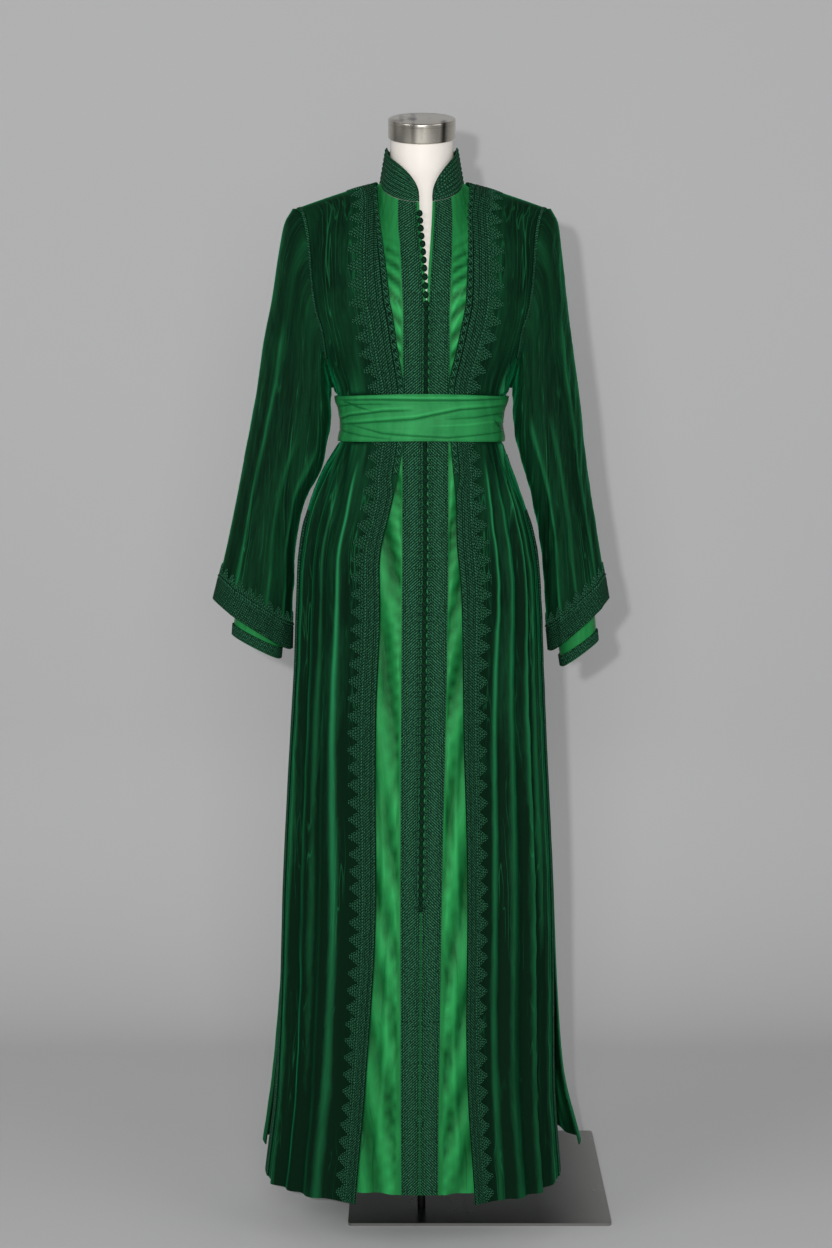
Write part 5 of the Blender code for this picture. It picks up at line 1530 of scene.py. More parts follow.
@dataclass(frozen=True)
class Robe:
    """Outer robe of velvet: open fronts, a back, two sleeves, and its braids and buttons."""

    wall: float = ROBE_WALL
    button: tuple[float, float, float] = (0.0036, 0.0050, 0.0027)
    button_end: float = 9.0
    picots: float = 0.024
    layer_front: Layer = Layer(-1, ROBE_FRONT_ROWS)
    layer_back: Layer = Layer(1, ROBE_BACK_ROWS)

    @property
    def levels(self) -> Numbers:
        """Levels of the front panels' rows."""
        return level_rows(130, 90, 75)

    @property
    def back_levels(self) -> Numbers:
        """Levels of the back panel's rows."""
        return level_rows(75, 45, 39)

    def front(self, side: Side) -> Sewn:
        """Front panel: columns under the front braid, the bare velvet, and columns under the side's braid.

        Args:
            side: Half of the garment.

        Returns:
            The dressed panel.
        """
        levels, word = self.levels, 0 if side is Side.LEFT else 1
        edge, braid = through(EDGES[:, word], levels), through(EDGES[:, 4 + word], levels)
        edge = edge + 0.0022 * np.sin(1.9 * levels + 2.0 * word) * ease((8.5 - levels) / 1.5)
        start = self.layer_front.turn_at(side, edge, levels)
        outer = self.layer_front.turn_at(side, edge + braid, levels)
        end = side_turn(levels)
        bare = SLIT_BRAID + (ARMHOLE_BRAID - SLIT_BRAID) * ease((levels - SLIT_TOP) / 3.0)
        inner = end - bare / np.maximum(self.layer_front.side_depth(levels), 0.06)
        folds = outer[:, None] + (inner - outer)[:, None] * np.linspace(0.0, 1.0, 9)
        middles = ((start + outer) / 2.0, (inner + end) / 2.0)
        columns = [start[:, None], middles[0][:, None], folds, middles[1][:, None], end[:, None]]
        table = np.concatenate(columns, axis=1)
        places = [np.linspace(0, 2, 25)[:-1], np.linspace(2, 10, 121)[:-1], np.linspace(10, 12, 15)]
        places = np.concatenate(places)
        wave = through([0.0, 0.0, 0.0, *fold_wave(7, float(side.value)), 0.0, 0.0, 0.0], places)
        lift = through(ROBE_FOLD, levels)[:, None] * wave
        lift = lift + through(EDGE_FLARE, levels)[:, None] * np.clip(1.0 - places / 2.0, 0.0, 1.0)
        turns = spread(table, places)
        cloth = self.layer_front.cloth(side.value * turns, levels, lift)
        panel = Sewn(cloth, np.zeros(turns.shape), 24, 14)
        share = (places[None, :] - 2.0) / 8.0 + np.zeros((len(levels), 1))
        across = lengths(cloth.points, 1)
        width = across[:, 144] - across[:, 24]
        bell = (ease(share * 12.0) * ease((1.0 - share) * 12.0)) * ((share > 0.0) & (share < 1.0))
        gathered = gathers(across, levels, 11 + word, 46, GATHER)
        slow = ripples(across, lengths(cloth.points, 0), 21 + word, 0.090, 0.0010)
        slow = slow + ripples(across, lengths(cloth.points, 0), 31 + word, 0.030, 0.0003)
        calm = 1.0 - ease((levels - 14.5) / 0.5)[:, None]
        calm = calm * (1.0 - ease((levels - 9.6) / 0.4) * ease((12.1 - levels) / 0.4))[:, None]
        shade = -0.16 * (1.0 - ease(levels / 9.0))[:, None]
        # The tones are painted light and shade: highlights on gathers and fold crests, fainter towards the
        # hem, shade in the gathers' hollows.
        reliefs = [
            (gathered * (0.35 + 0.65 * bell), gathered / GATHER * 0.28 * bell),
            (slow * calm * (0.3 + 0.7 * bell), shade),
        ]
        for fold in VELVET_FOLDS[side]:
            height, tone = fold.over(share, width, levels)
            reliefs.append((height * bell, tone * bell * (0.60 + 0.40 * ease(levels / 7.0))[:, None]))
        return panel.with_relief(reliefs)

    def back(self) -> tuple[Surface, Numbers]:
        """Back panel in one piece, with crests and hollows at alternate columns."""
        levels = self.back_levels
        shares = (0.115, 0.28, 0.46, 0.64, 0.82, 1.0)
        table = back_columns(side_turn(levels), shares)
        places = np.linspace(0.0, table.shape[1] - 1.0, 241)
        lift = through(ROBE_FOLD, levels)[:, None] * through(fold_wave(table.shape[1], 0.4), places)
        cloth = self.layer_back.cloth(spread(table, places), levels, lift)
        across = lengths(cloth.points, 1)
        inner = np.sin(math.pi * np.arange(241) / 240.0) ** 0.3
        gathered = gathers(across, levels, 15, 90, GATHER)
        slow = ripples(across, lengths(cloth.points, 0), 25, 0.090, 0.0010)
        calm = 1.0 - ease((levels - 14.3) / 0.5)[:, None]
        clear = (np.abs(levels - 10.9) > 1.2)[:, None]
        # tone: painted highlights on the gathers and fold crests, painted shade in the gathers' hollows
        height, tone = gathered + slow * inner * calm * clear, gathered / GATHER * 0.28
        share = np.broadcast_to(np.arange(241) / 240.0, across.shape)
        for place in (0.12, 0.24, 0.38, 0.52, 0.63, 0.77, 0.89):
            more, light = Fold(place, 0.006, 0.0030, 0.0, 9.7, 0.8).over(share, across[:, -1], levels)
            height, tone = height + more, tone + light
        return cloth.moved(height), tone

    def front_braid(self, panel: Sewn, side: Side) -> Braid:
        """Braid on a front edge, which makes room for the buttons above the hip."""
        levels, word = self.levels, 0 if side is Side.LEFT else 1
        beside = 2.0 * self.button[0] + 0.0016
        inner = 0.0008 + (beside - 0.0008) * ease((levels - self.button_end + 0.6) / 0.6)
        edge = panel.inner_edge()
        outer = np.maximum(through(EDGES[:, 4 + word], levels), 0.030) + 0.001
        return Braid(edge, 0.001, edge.line()[-1] - 0.002, inner, outer)


def back_columns(end: Numbers, shares: Sequence[float]) -> Numbers:
    """Turns of a back panel's columns, with one on each corner of the neckline."""
    neck = np.broadcast_to(np.linspace(0.0, NECK_TURN, 4), (len(end), 4))
    out = NECK_TURN + (end[:, None] - NECK_TURN) * np.array(shares)
    half = np.concatenate([neck, out], axis=1)
    return np.concatenate([-half[:, :0:-1], half], axis=1)


# Crests of the velvet by share across each front, with the tone of each one's painted highlight, and creases
# by points of X and Z
VELVET_FOLDS = {
    Side.LEFT: (
        Fold(0.16, 0.0050, 0.0034, -1.0, 9.6, 0.95),
        Fold(0.42, 0.0060, 0.0016, 0.5, 9.2, 0.35),
        Fold(0.60, 0.0050, 0.0012, 2.0, 9.8, 0.30),
        Fold(0.78, 0.0055, 0.0036, -1.0, 9.4, 0.85),
        Fold(0.97, 0.0025, 0.0012, -1.0, 8.6, 0.90),
    ),
    Side.RIGHT: (
        Fold(0.08, 0.0040, 0.0026, -1.0, 9.6, 0.95),
        Fold(0.26, 0.0045, 0.0024, -1.0, 9.3, 0.65),
        Fold(0.50, 0.0050, 0.0028, -1.0, 9.5, 0.85),
        Fold(0.70, 0.0040, 0.0016, 2.0, 9.6, 0.50),
        Fold(0.85, 0.0045, 0.0026, -1.0, 9.0, 0.85),
    ),
}
SLEEVE_RIDGES = {
    Side.LEFT: (
        Fold(0.17, 0.0055, 0.0026, 2.6, 9.6, 0.55),
        Fold(0.30, 0.0040, 0.0012, 4.0, 9.6, 0.30),
        Fold(0.38, 0.0050, 0.0020, 3.4, 9.6, 0.45),
        Fold(0.66, 0.0070, 0.0028, 1.8, 9.6, 0.40),
        Fold(0.83, 0.0070, 0.0024, 1.0, 8.4, 0.35),
    ),
    Side.RIGHT: (
        Fold(0.14, 0.0055, 0.0024, 2.6, 9.6, 0.50),
        Fold(0.25, 0.0040, 0.0014, 4.0, 9.2, 0.35),
        Fold(0.34, 0.0050, 0.0024, 3.0, 9.6, 0.60),
        Fold(0.70, 0.0070, 0.0026, 2.0, 9.6, 0.40),
        Fold(0.86, 0.0070, 0.0022, 1.2, 8.2, 0.35),
    ),
}


def inner_rows(outer: Numbers, skirt: Numbers) -> Numbers:
    """Levels of the inner kaftan: its own skirt, then the robe's levels with a higher underarm."""
    rows = outer.copy()
    rows[: len(skirt)] = skirt
    rows[12, 1] = 1.237
    rows[13, 1] += 0.010
    rows[13:15, 5] *= 0.70
    return rows


@dataclass(frozen=True)
class InnerKaftan:
    """Inner kaftan of satin: fronts that meet at a button row, a back, two sleeves and a stand collar."""

    wall: float = DRESS_WALL
    placket: float = 0.0313
    strip_start: float = 0.0038
    strip_low: float = 0.0006
    closed_z: float = 1.318
    button: tuple[float, float, float] = (0.0040, 0.0050, 0.0034)
    button_low_z: float = 0.485
    layer_front: Layer = Layer(-1, inner_rows(ROBE_FRONT_ROWS, DRESS_SKIRT_ROWS))
    layer_back: Layer = Layer(
        1, inner_rows(ROBE_BACK_ROWS, DRESS_SKIRT_ROWS * np.array([1.0, 1.0, 1.0, 1.0, -0.95, 1.0]))
    )

    @property
    def levels(self) -> Numbers:
        """Levels of the panels' rows."""
        return level_rows(110, 90, 30)

    @staticmethod
    def depth(levels: Numbers) -> Numbers:
        """How far the layer lies inside the robe's shell."""
        upper, shoulder = ease((levels - 8.0) / 2.0), ease((levels - CHEST) / 0.5)
        return DRESS_SKIRT_LIFT + (DRESS_LIFT - DRESS_SKIRT_LIFT) * upper + DRESS_SHOULDER_LIFT * shoulder

    def front_table(self, side: Side, levels: Numbers) -> Numbers:
        """Turns of a front panel's columns: the placket's, one at the neckline's corner, on to the side."""
        middle, gap = through(EDGES[:, 2], levels), through(EDGES[:, 3], levels)
        start = self.layer_front.turn_at(side, side.value * middle + gap, levels)
        outer = self.layer_front.turn_at(side, side.value * middle + gap + self.placket, levels)
        out = NECK_TURN + (side_turn(levels) - NECK_TURN)[:, None] * np.array([0.0, 0.115, 0.40, 0.70, 1.0])
        near = [start, (start + outer) / 2.0, outer, (outer + NECK_TURN) / 2.0]
        return np.concatenate([np.stack(near, axis=1), out], axis=1)

    def front(self, side: Side) -> Sewn:
        """Front panel: columns under the placket's braid, then the satin out to the side seam.

        Args:
            side: Half of the garment.

        Returns:
            The dressed panel.
        """
        levels, word = self.levels, 0 if side is Side.LEFT else 1
        places = np.concatenate([np.linspace(0.0, 2.0, 25)[:-1], np.linspace(2.0, 8.0, 131)])
        wave = through([0.0, 0.0, 0.0, -1.0, 0.8, 0.0, -0.6, 0.6, 0.0], places)
        lift = self.depth(levels)[:, None] + through(DRESS_FOLD, levels)[:, None] * wave
        turns = side.value * spread(self.front_table(side, levels), places)
        cloth = self.layer_front.cloth(turns, levels, lift)
        across, down = lengths(cloth.points, 1), lengths(cloth.points, 0)
        beyond = np.maximum(across - across[:, 24:25], 0.0)
        free = ease(beyond / 0.006) * (1.0 - ease((levels - 14.2) / 0.5))[:, None]
        under = np.where((levels > 8.0) & (levels < CHEST), 0.30, 1.0)[:, None]
        uneven = np.sin(math.tau * down / 0.19 + word) * 2.2
        chest = ease((levels - 11.6) / 0.6)[:, None]
        pucker = np.sin(math.tau * (down - 0.75 * beyond) / 0.021 + uneven)
        pucker = pucker * (chest + (1.0 - chest) * np.exp(-beyond / 0.016))
        long = np.sin(math.tau * (beyond / 0.040 - down / 0.15 + 0.30 * np.sin(9.0 * down + 2.0 * word)))
        long = long * (1.0 - ease((levels - 9.0) / 0.8))[:, None]
        slow = ripples(across, down, 41 + word, 0.110, 0.0022)
        slow = slow + ripples(across, down, 51 + word, 0.034, 0.0005)
        # Each relief's tone is painted light and shade that follows its puckers, long folds and creases.
        reliefs = [
            ((0.00045 + 0.00050 * chest) * pucker * free * under, (0.26 + 0.14 * chest) * pucker * free),
            (0.0018 * long * free, 0.28 * long * free),
            (slow * free * under, 0.0),
        ]
        for crease in SATIN_CREASES[side]:
            height, tone = crease.over(cloth.points)
            reliefs.append((height * free, tone * free))
        return Sewn(cloth, np.zeros(across.shape), 24, 12).with_relief(reliefs)

    def back(self) -> Surface:
        """Back panel in one piece."""
        levels = self.levels
        table = back_columns(side_turn(levels), (0.115, 0.40, 0.70, 1.0))
        places = np.linspace(0.0, table.shape[1] - 1.0, 81)
        wave = through(fold_wave(table.shape[1], 0.9), places)
        lift = self.depth(levels)[:, None] + through(DRESS_FOLD, levels)[:, None] * wave
        return self.layer_back.cloth(spread(table, places), levels, lift)

    def placket_braid(self, panel: Sewn) -> Braid:
        """Strip of braid beside the button row, narrower towards the hem, where both strips meet."""
        edge = panel.inner_edge()
        height = panel.cloth.points[:, 0, 2]
        rise = ease((height - self.button_low_z) / 0.02)
        inner = self.strip_low + (self.strip_start - self.strip_low) * rise
        outer = self.placket * (0.80 + 0.20 * ease(height / 1.05))
        return Braid(edge, 0.001, edge.line()[-1] - 0.0005, inner, outer)

    def button_line(self, panel: Sewn) -> Braid:
        """Line of the button row, on the very edge of a front panel."""
        edge = panel.inner_edge()
        line, height = edge.line(), edge.cloth.points[:, 0, 2]
        start = float(np.interp(self.button_low_z, height, line))
        none = np.zeros(len(line))
        return Braid(edge, start, line[-1] - 0.012, none, none + 0.004)

    def closed_part(self, line: Braid) -> Braid:
        """Part of the button row below the open neck."""
        height = line.edge.cloth.points[:, 0, 2]
        return replace(line, end=float(np.interp(self.closed_z, height, line.edge.line())))

    def collar(self, seam_gap: float = 0.0004) -> tuple[Surface, Numbers]:
        """Stand collar on the neckline, open in front, that rises from its rounded ends as a quarter oval.

        Args:
            seam_gap: Gap above the neckline.

        Returns:
            The collar's surface and the tone of its cords, painted shade between them.
        """
        top = np.array([TOP])
        halves = []
        for side in Side:
            start = self.front_table(side, top)[0, 0]
            turns = side.value * np.linspace(start, NECK_TURN, 61)[None]
            sunk = np.full(turns.shape, self.depth(top)[0])
            halves.append(self.layer_front.cloth(turns, top, sunk).points[0])
        turns = np.linspace(-NECK_TURN, NECK_TURN, 101)[None]
        behind = self.layer_back.cloth(turns, top, np.full(turns.shape, self.depth(top)[0])).points[0]
        base = evenly(np.concatenate([halves[0], behind, halves[1][::-1]]), 360)
        base[:, 2] += seam_gap
        travelled = lengths(base, 0)
        from_end = np.minimum(travelled, travelled[-1] - travelled)
        rounded = np.clip(from_end / COLLAR_ROUND, 0.0, 1.0)
        height = COLLAR_HEIGHT * (0.12 + 0.88 * np.sqrt(1.0 - (1.0 - rounded) ** 2))
        inward = unit((np.array([0.001, 0.004, 0.0]) - base) * np.array([1.0, 1.0, 0.0]))
        share = np.linspace(0.0, 1.0, 73)[:, None]
        rise = share * height
        points = base + inward * (COLLAR_LEAN * rise / COLLAR_HEIGHT)[..., None]
        points[..., 2] += rise
        cord = np.abs(np.sin(math.pi * 7.5 * share)) ** 0.7
        low = np.clip(height / COLLAR_HEIGHT, 0.3, 1.0)
        outward = np.broadcast_to(-inward, points.shape)
        surface = Surface(points, outward).moved(0.0011 * cord * low - 0.0004)
        return surface, np.broadcast_to(cord, points.shape[:2])

    def body(
        self, facing: int, levels: Numbers, wall_gap: float = 0.0009, low_gap: float = 0.0040
    ) -> Numbers:
        """Grid of the form just inside this layer, from side to side, for the front or the back."""
        inset = self.depth(levels) - self.wall - wall_gap - low_gap * ease((10.0 - levels) / 2.0)
        if facing > 0:
            table = back_columns(side_turn(levels), (0.115, 0.40, 0.70, 1.0))
            turns = spread(table, np.linspace(0.0, table.shape[1] - 1.0, 113))
            return self.layer_back.cloth(turns, levels, np.repeat(inset[:, None], 113, axis=1)).points
        halves = []
        for side in Side:
            table = self.front_table(side, levels)
            columns = np.concatenate([np.linspace(0, 4, 25)[:-1], np.linspace(4, 8, 33)])
            turns = side.value * spread(table, columns)
            grid = self.layer_front.cloth(turns, levels, np.repeat(inset[:, None], 57, axis=1)).points
            halves.append(grid[:, ::side.value])
        return np.concatenate(halves, axis=1)


# Creases of the satin fronts; their tones paint highlights along the ridges
SATIN_CREASES = {
    Side.LEFT: (
        Crease(((-0.050, 1.335), (-0.034, 1.318), (-0.022, 1.290)), 0.0030, 0.0010, 0.35),
        Crease(((-0.052, 1.300), (-0.036, 1.292), (-0.024, 1.270)), 0.0026, 0.0009, 0.30),
        Crease(((-0.047, 1.268), (-0.034, 1.262), (-0.024, 1.246)), 0.0026, 0.0008, 0.30),
        Crease(((-0.060, 0.700), (-0.052, 0.560), (-0.058, 0.400)), 0.0050, 0.0018, 0.30),
        Crease(((-0.045, 0.480), (-0.050, 0.300), (-0.062, 0.120)), 0.0060, 0.0022, 0.30),
    ),
    Side.RIGHT: (
        Crease(((0.060, 1.345), (0.048, 1.322), (0.038, 1.296)), 0.0030, 0.0010, 0.35),
        Crease(((0.062, 1.312), (0.050, 1.298), (0.040, 1.276)), 0.0026, 0.0009, 0.30),
        Crease(((0.056, 1.276), (0.048, 1.266), (0.040, 1.250)), 0.0026, 0.0008, 0.30),
        Crease(((0.050, 0.760), (0.046, 0.600), (0.052, 0.430)), 0.0045, 0.0018, 0.30),
        Crease(((0.046, 0.420), (0.044, 0.260), (0.052, 0.110)), 0.0055, 0.0022, 0.30),
    ),
}


@dataclass(frozen=True)
class Sash:
    """Satin sash, wound flat round the waist, with soft creases between its wraps and a tucked end."""

    lift: float = 0.0062
    rows: int = 73
    columns: int = 320

    def surface(self, robe: Robe) -> tuple[Surface, Numbers]:
        """Sash's outer side: the robe's rings moved out, rolled at both edges, with creases in front and
        behind; its tone holds painted light and shade.

        Args:
            robe: Robe that it is wound round.

        Returns:
            The surface and its tone.
        """
        levels = np.linspace(SASH_LOW, SASH_HIGH, self.rows)
        grid = levels[:, None] + np.zeros((1, self.columns // 2 + 1))
        turns = np.broadcast_to(np.linspace(-math.pi / 2.0, math.pi / 2.0, self.columns // 2 + 1), grid.shape)
        parts, ways = [], []
        for layer, angle in ((robe.layer_front, turns), (robe.layer_back, turns[:, ::-1])):
            parts.append(layer.point(angle, grid)[:, :-1])
            ways.append(layer.normal(angle, grid)[:, :-1])
        points, outward = np.concatenate(parts, axis=1), np.concatenate(ways, axis=1)
        points = np.concatenate([points, points[:, :1]], axis=1)
        outward = np.concatenate([outward, outward[:, :1]], axis=1)
        cloth = Surface(points, outward, closed=True)
        share = np.linspace(0.0, 1.0, self.rows)[:, None]
        round_it = np.arange(self.columns + 1) / self.columns * math.tau
        rolled = -0.0012 * (hump(share, 0.05) + hump(1.0 - share, 0.05))
        drift = share + 0.025 * np.sin(2.0 * round_it + 0.6) + 0.012 * np.sin(5.0 * round_it)
        wraps = sum(hump(drift - place, 0.018) for place in (0.27, 0.52, 0.80))
        behind = ease((points[..., 1] + 0.02) / 0.03)
        height = self.lift + rolled - 0.0012 * wraps * (0.25 + 0.75 * behind)
        # painted shade in the grooves between the wraps behind and along both rolled edges
        tone = -0.35 * wraps * behind - 0.2 * (hump(share, 0.03) + hump(1.0 - share, 0.03))
        in_front = 1.0 - behind
        for crease in SASH_CREASES:
            more, light = crease.over(points)
            height, tone = height + more * in_front, tone + light * in_front
        across, down = lengths(points, 1), lengths(points, 0)
        closing = np.sin(round_it / 2.0) ** 0.2
        height = height + ripples(across, down * 3.0, 61, 0.080, 0.0007) * closing
        return cloth.moved(height), tone


# Sash creases: negative tones paint shade in grooves, positive ones paint highlights on ridges
SASH_CREASES = (
    Crease(
        ((-0.112, 1.186), (-0.060, 1.187), (0.000, 1.186), (0.060, 1.186), (0.114, 1.188)),
        0.0019, -0.0016, -0.80,
    ),
    Crease(
        ((-0.112, 1.190), (-0.060, 1.191), (0.000, 1.190), (0.060, 1.190), (0.114, 1.192)),
        0.0032, 0.0010, 0.38,
    ),
    Crease(((-0.104, 1.185), (-0.085, 1.177), (-0.064, 1.171)), 0.0016, -0.0012, -0.70),
    Crease(((-0.112, 1.156), (-0.095, 1.164), (-0.050, 1.171), (-0.010, 1.172)), 0.0016, -0.0014, -0.80),
    Crease(((-0.112, 1.161), (-0.094, 1.168), (-0.050, 1.175), (-0.010, 1.176)), 0.0032, 0.0011, 0.38),
    Crease(
        ((-0.114, 1.150), (-0.060, 1.156), (-0.010, 1.160), (0.050, 1.173), (0.114, 1.178)),
        0.0021, -0.0016, -0.80,
    ),
    Crease(
        ((-0.114, 1.154), (-0.060, 1.160), (-0.010, 1.164), (0.050, 1.177), (0.114, 1.182)),
        0.0034, 0.0012, 0.40,
    ),
    Crease(((-0.093, 1.151), (-0.052, 1.140), (0.034, 1.134), (0.110, 1.140)), 0.0016, -0.0013, -0.75),
    Crease(((0.098, 1.162), (0.106, 1.154), (0.116, 1.146)), 0.0022, 0.0014, 0.25),
    Crease(((0.094, 1.158), (0.102, 1.148), (0.112, 1.142)), 0.0014, -0.0014, -0.80),
    Crease(((-0.114, 1.176), (-0.092, 1.180), (-0.040, 1.181)), 0.0018, -0.0012, -0.55),
    Crease(((0.030, 1.160), (0.070, 1.162), (0.114, 1.168)), 0.0018, -0.0012, -0.55),
    Crease(((0.010, 1.150), (0.060, 1.152), (0.112, 1.158)), 0.0030, 0.0010, 0.30),
    Crease(((-0.114, 1.143), (-0.080, 1.136), (-0.040, 1.132)), 0.0020, -0.0010, -0.50),
)


@dataclass(frozen=True)
class DressForm:
    """Limbless form with its neck, its turned steel cap, and the stand's plate and pole."""

    low_level: float = 6.0
    low_z: float = 0.900
    neck_gap: float = 0.0026
    cap_radius: float = 0.0465
    cap_height: float = 0.027
    cap_round: float = 0.0020
    neck_top_z: float = 1.5425
    cap_sides: int = 128
    shoulder_columns: int = 33
    nape_columns: int = 21

    def body(self, kaftan: InnerKaftan) -> bpy.types.Mesh:
        """Torso just inside the kaftan, closed flat at the armholes and below, with a neck of stacked ovals.

        Args:
            kaftan: Inner kaftan that it fills.

        Returns:
            One closed mesh.
        """
        levels = np.concatenate([np.linspace(self.low_level, CHEST, 73)[:-1], np.linspace(CHEST, TOP, 21)])
        front, back = kaftan.body(-1, levels), kaftan.body(1, levels)
        wings = self.shoulder_columns
        for grid in (front, back):
            grid[0, :, 2] = self.low_z
        behind = back.shape[1] // 2
        neck_back = slice(behind - self.nape_columns, behind + self.nape_columns + 1)
        front[-1, :wings, 1] = 0.0
        front[-1, -wings:, 1] = 0.0
        share = np.linspace(0.0, 1.0, 9)[1:, None]
        for grid, start, end in ((front, wings - 1, -wings + 1), (back, neck_back.start, neck_back.stop)):
            spots = grid[-8:, start:end]
            spots -= unit(spots * np.array([1.0, 1.0, 0.0])) * (self.neck_gap * share)[..., None]
        neckline = np.concatenate([front[-1, wings - 1:-wings + 1], back[-1, neck_back][1:-1][::-1]])
        shape = bmesh.new()
        outline = np.concatenate([front, back[:, ::-1]], axis=1)
        self._grid(shape, np.concatenate([outline, outline[:, :1]], axis=1))
        angle = np.arctan2(neckline[:, 0], -neckline[:, 1])
        rings = [neckline]
        for half, ahead, rear, z, tilt in NECK_ROWS:
            depth = np.where(np.cos(angle) > 0.0, ahead, -rear) * np.cos(angle)
            rings.append(np.stack([half * np.sin(angle), depth, z + tilt * depth], axis=1))
        neck = through(np.array(rings), np.linspace(0.0, 3.0, 19))
        self._grid(shape, np.concatenate([neck, neck[:, :1]], axis=1))
        shape.faces.new([shape.verts.new(spot) for spot in neck[-1]])
        shape.faces.new([shape.verts.new(spot) for spot in outline[0]])
        bmesh.ops.remove_doubles(shape, verts=shape.verts, dist=0.0002)
        bmesh.ops.recalc_face_normals(shape, faces=shape.faces)
        mesh = bpy.data.meshes.new("form_torso")
        shape.to_mesh(mesh)
        shape.free()
        mesh.shade_smooth()
        mesh.set_sharp_from_angle(angle=math.radians(50.0))
        return mesh

    @staticmethod
    def _grid(shape: bmesh.types.BMesh, grid: Numbers) -> None:
        """Add a grid of points to a bmesh as four-cornered faces."""
        spots = [shape.verts.new(spot) for spot in grid.reshape(-1, 3)]
        for face in squares(np.arange(len(spots)).reshape(grid.shape[:2])):
            shape.faces.new([spots[number] for number in face])

    def cap(self) -> bpy.types.Mesh:
        """Turned cap: a rounded profile carried round a leaning axis, with a flat top and bottom.

        Returns:
            One closed mesh.
        """
        turn = np.linspace(0.0, math.pi / 2.0, 5)
        rounding = self.cap_radius - self.cap_round * (1.0 - np.sin(turn))
        rise = self.cap_round * (1.0 - np.cos(turn))
        groove = np.array([0.0, 0.0003, 0.0003, 0.0])
        groove_z = self.cap_height - np.array([0.0062, 0.0060, 0.0056, 0.0054])
        radius = np.concatenate([rounding, self.cap_radius - groove, rounding[::-1]])
        height = np.concatenate([rise, groove_z, self.cap_height - rise[::-1]])
        angle = math.tau * np.arange(self.cap_sides) / self.cap_sides
        x, y = radius[:, None] * np.cos(angle), radius[:, None] * np.sin(angle)
        z = np.broadcast_to(height[:, None], x.shape)
        lean_y = y * math.cos(HEAD_TILT) - z * math.sin(HEAD_TILT)
        lean_z = self.neck_top_z + y * math.sin(HEAD_TILT) + z * math.cos(HEAD_TILT)
        points = np.stack([x, lean_y, lean_z], axis=-1).reshape(-1, 3)
        numbers = np.arange(len(points)).reshape(len(radius), self.cap_sides)
        faces = squares(np.concatenate([numbers, numbers[:, :1]], axis=1)).tolist()
        faces += [numbers[0, ::-1].tolist(), numbers[-1].tolist()]
        mesh = bpy.data.meshes.new("neck_cap_turned")
        mesh.from_pydata(points.tolist(), [], faces)
        mesh.shade_smooth()
        mesh.set_sharp_from_angle(angle=math.radians(40.0))
        return mesh


@dataclass(frozen=True)
class Studio:
    """Camera, soft lights and a pale backdrop that curves up from the floor."""

    place: tuple[float, float, float] = (-0.008, -3.211, 1.286)
    pitch: float = math.radians(82.56)
    lens: float = 65.9
    wall_y: float = 1.25
    cove: float = 0.50

    def camera(self) -> None:
        """Make the camera at the photograph's place."""
        data = bpy.data.cameras.new("camera")
        data.lens = self.lens
        data.sensor_width = 36.0
        camera = bpy.data.objects.new("camera", data)
        camera.location = self.place
        camera.rotation_euler = (self.pitch, 0.0, 0.0)
        bpy.context.scene.collection.objects.link(camera)
        bpy.context.scene.camera = camera

    def backdrop(self) -> None:
        """Make one sheet: a floor, a quarter round and a wall, carried across."""
        turn = np.linspace(0.0, math.pi / 2.0, 25)
        start = self.wall_y - self.cove
        y = np.concatenate([[-6.0], start + self.cove * np.sin(turn), [self.wall_y]])
        z = np.concatenate([[0.0], self.cove * (1.0 - np.cos(turn)), [5.0]]) - 0.0002
        x = np.array([-5.0, 5.0])
        parts = (np.broadcast_to(x[:, None], (2, len(y))), np.tile(y, (2, 1)), np.tile(z, (2, 1)))
        points = np.stack(parts, axis=-1)
        mesh = bpy.data.meshes.new("backdrop")
        faces = squares(np.arange(2 * len(y)).reshape(2, len(y)))[:, ::-1]
        mesh.from_pydata(points.reshape(-1, 3).tolist(), [], faces.tolist())
        mesh.shade_smooth()
        material, tree, shader = new_material("backdrop")
        noise = tree.add("TexNoise", Vector=tree.add("TexCoord").outputs["Object"], Scale=0.7, Detail=2.0)
        colour = tree.mix(noise.outputs[0], (0.55, 0.55, 0.556, 1.0), (0.59, 0.59, 0.596, 1.0))
        tree.tree.links.new(colour, shader.inputs["Base Color"])
        shader.inputs["Roughness"].default_value = 0.8
        mesh.materials.append(material)
        sheet = bpy.data.objects.new("backdrop", mesh)
        bpy.context.scene.collection.objects.link(sheet)
        sheet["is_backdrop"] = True

    def lights(self) -> None:
        """Make a small light beside the camera, two large soft ones, and a dim even surround."""
        self._light("key", (-0.125, -3.30, 1.37), (0.0, 0.0, 0.95), 0.035, 40.0)
        self._light("front", (0.0, -3.40, 1.60), (0.0, 0.0, 0.8), 1.0, 34.0)
        self._light("fill_left", (-2.4, -2.0, 2.6), (0.0, 0.0, 0.9), 1.6, 20.0)
        self._light("fill_right", (2.4, -1.8, 2.3), (0.0, 0.0, 0.9), 1.6, 12.0)
        world = bpy.data.worlds.new("surround")
        world.use_nodes = True
        ground = world.node_tree.nodes["Background"]
        ground.inputs["Color"].default_value = (1.0, 1.0, 1.0, 1.0)
        ground.inputs["Strength"].default_value = 0.27
        bpy.context.scene.world = world
        bpy.context.scene.view_settings.view_transform = "Standard"

    @staticmethod
    def _light(name: str, place: Sequence[float], target: Sequence[float], size: float, power: float) -> None:
        """Make a square light that faces a target."""
        data = bpy.data.lights.new(name, "AREA")
        data.size = size
        data.energy = power
        light = bpy.data.objects.new(name, data)
        way = np.array(place) - np.array(target)
        light.location = place
        light.rotation_euler = (math.acos(way[2] / np.linalg.norm(way)), 0.0, math.atan2(way[0], -way[1]))
        bpy.context.scene.collection.objects.link(light)


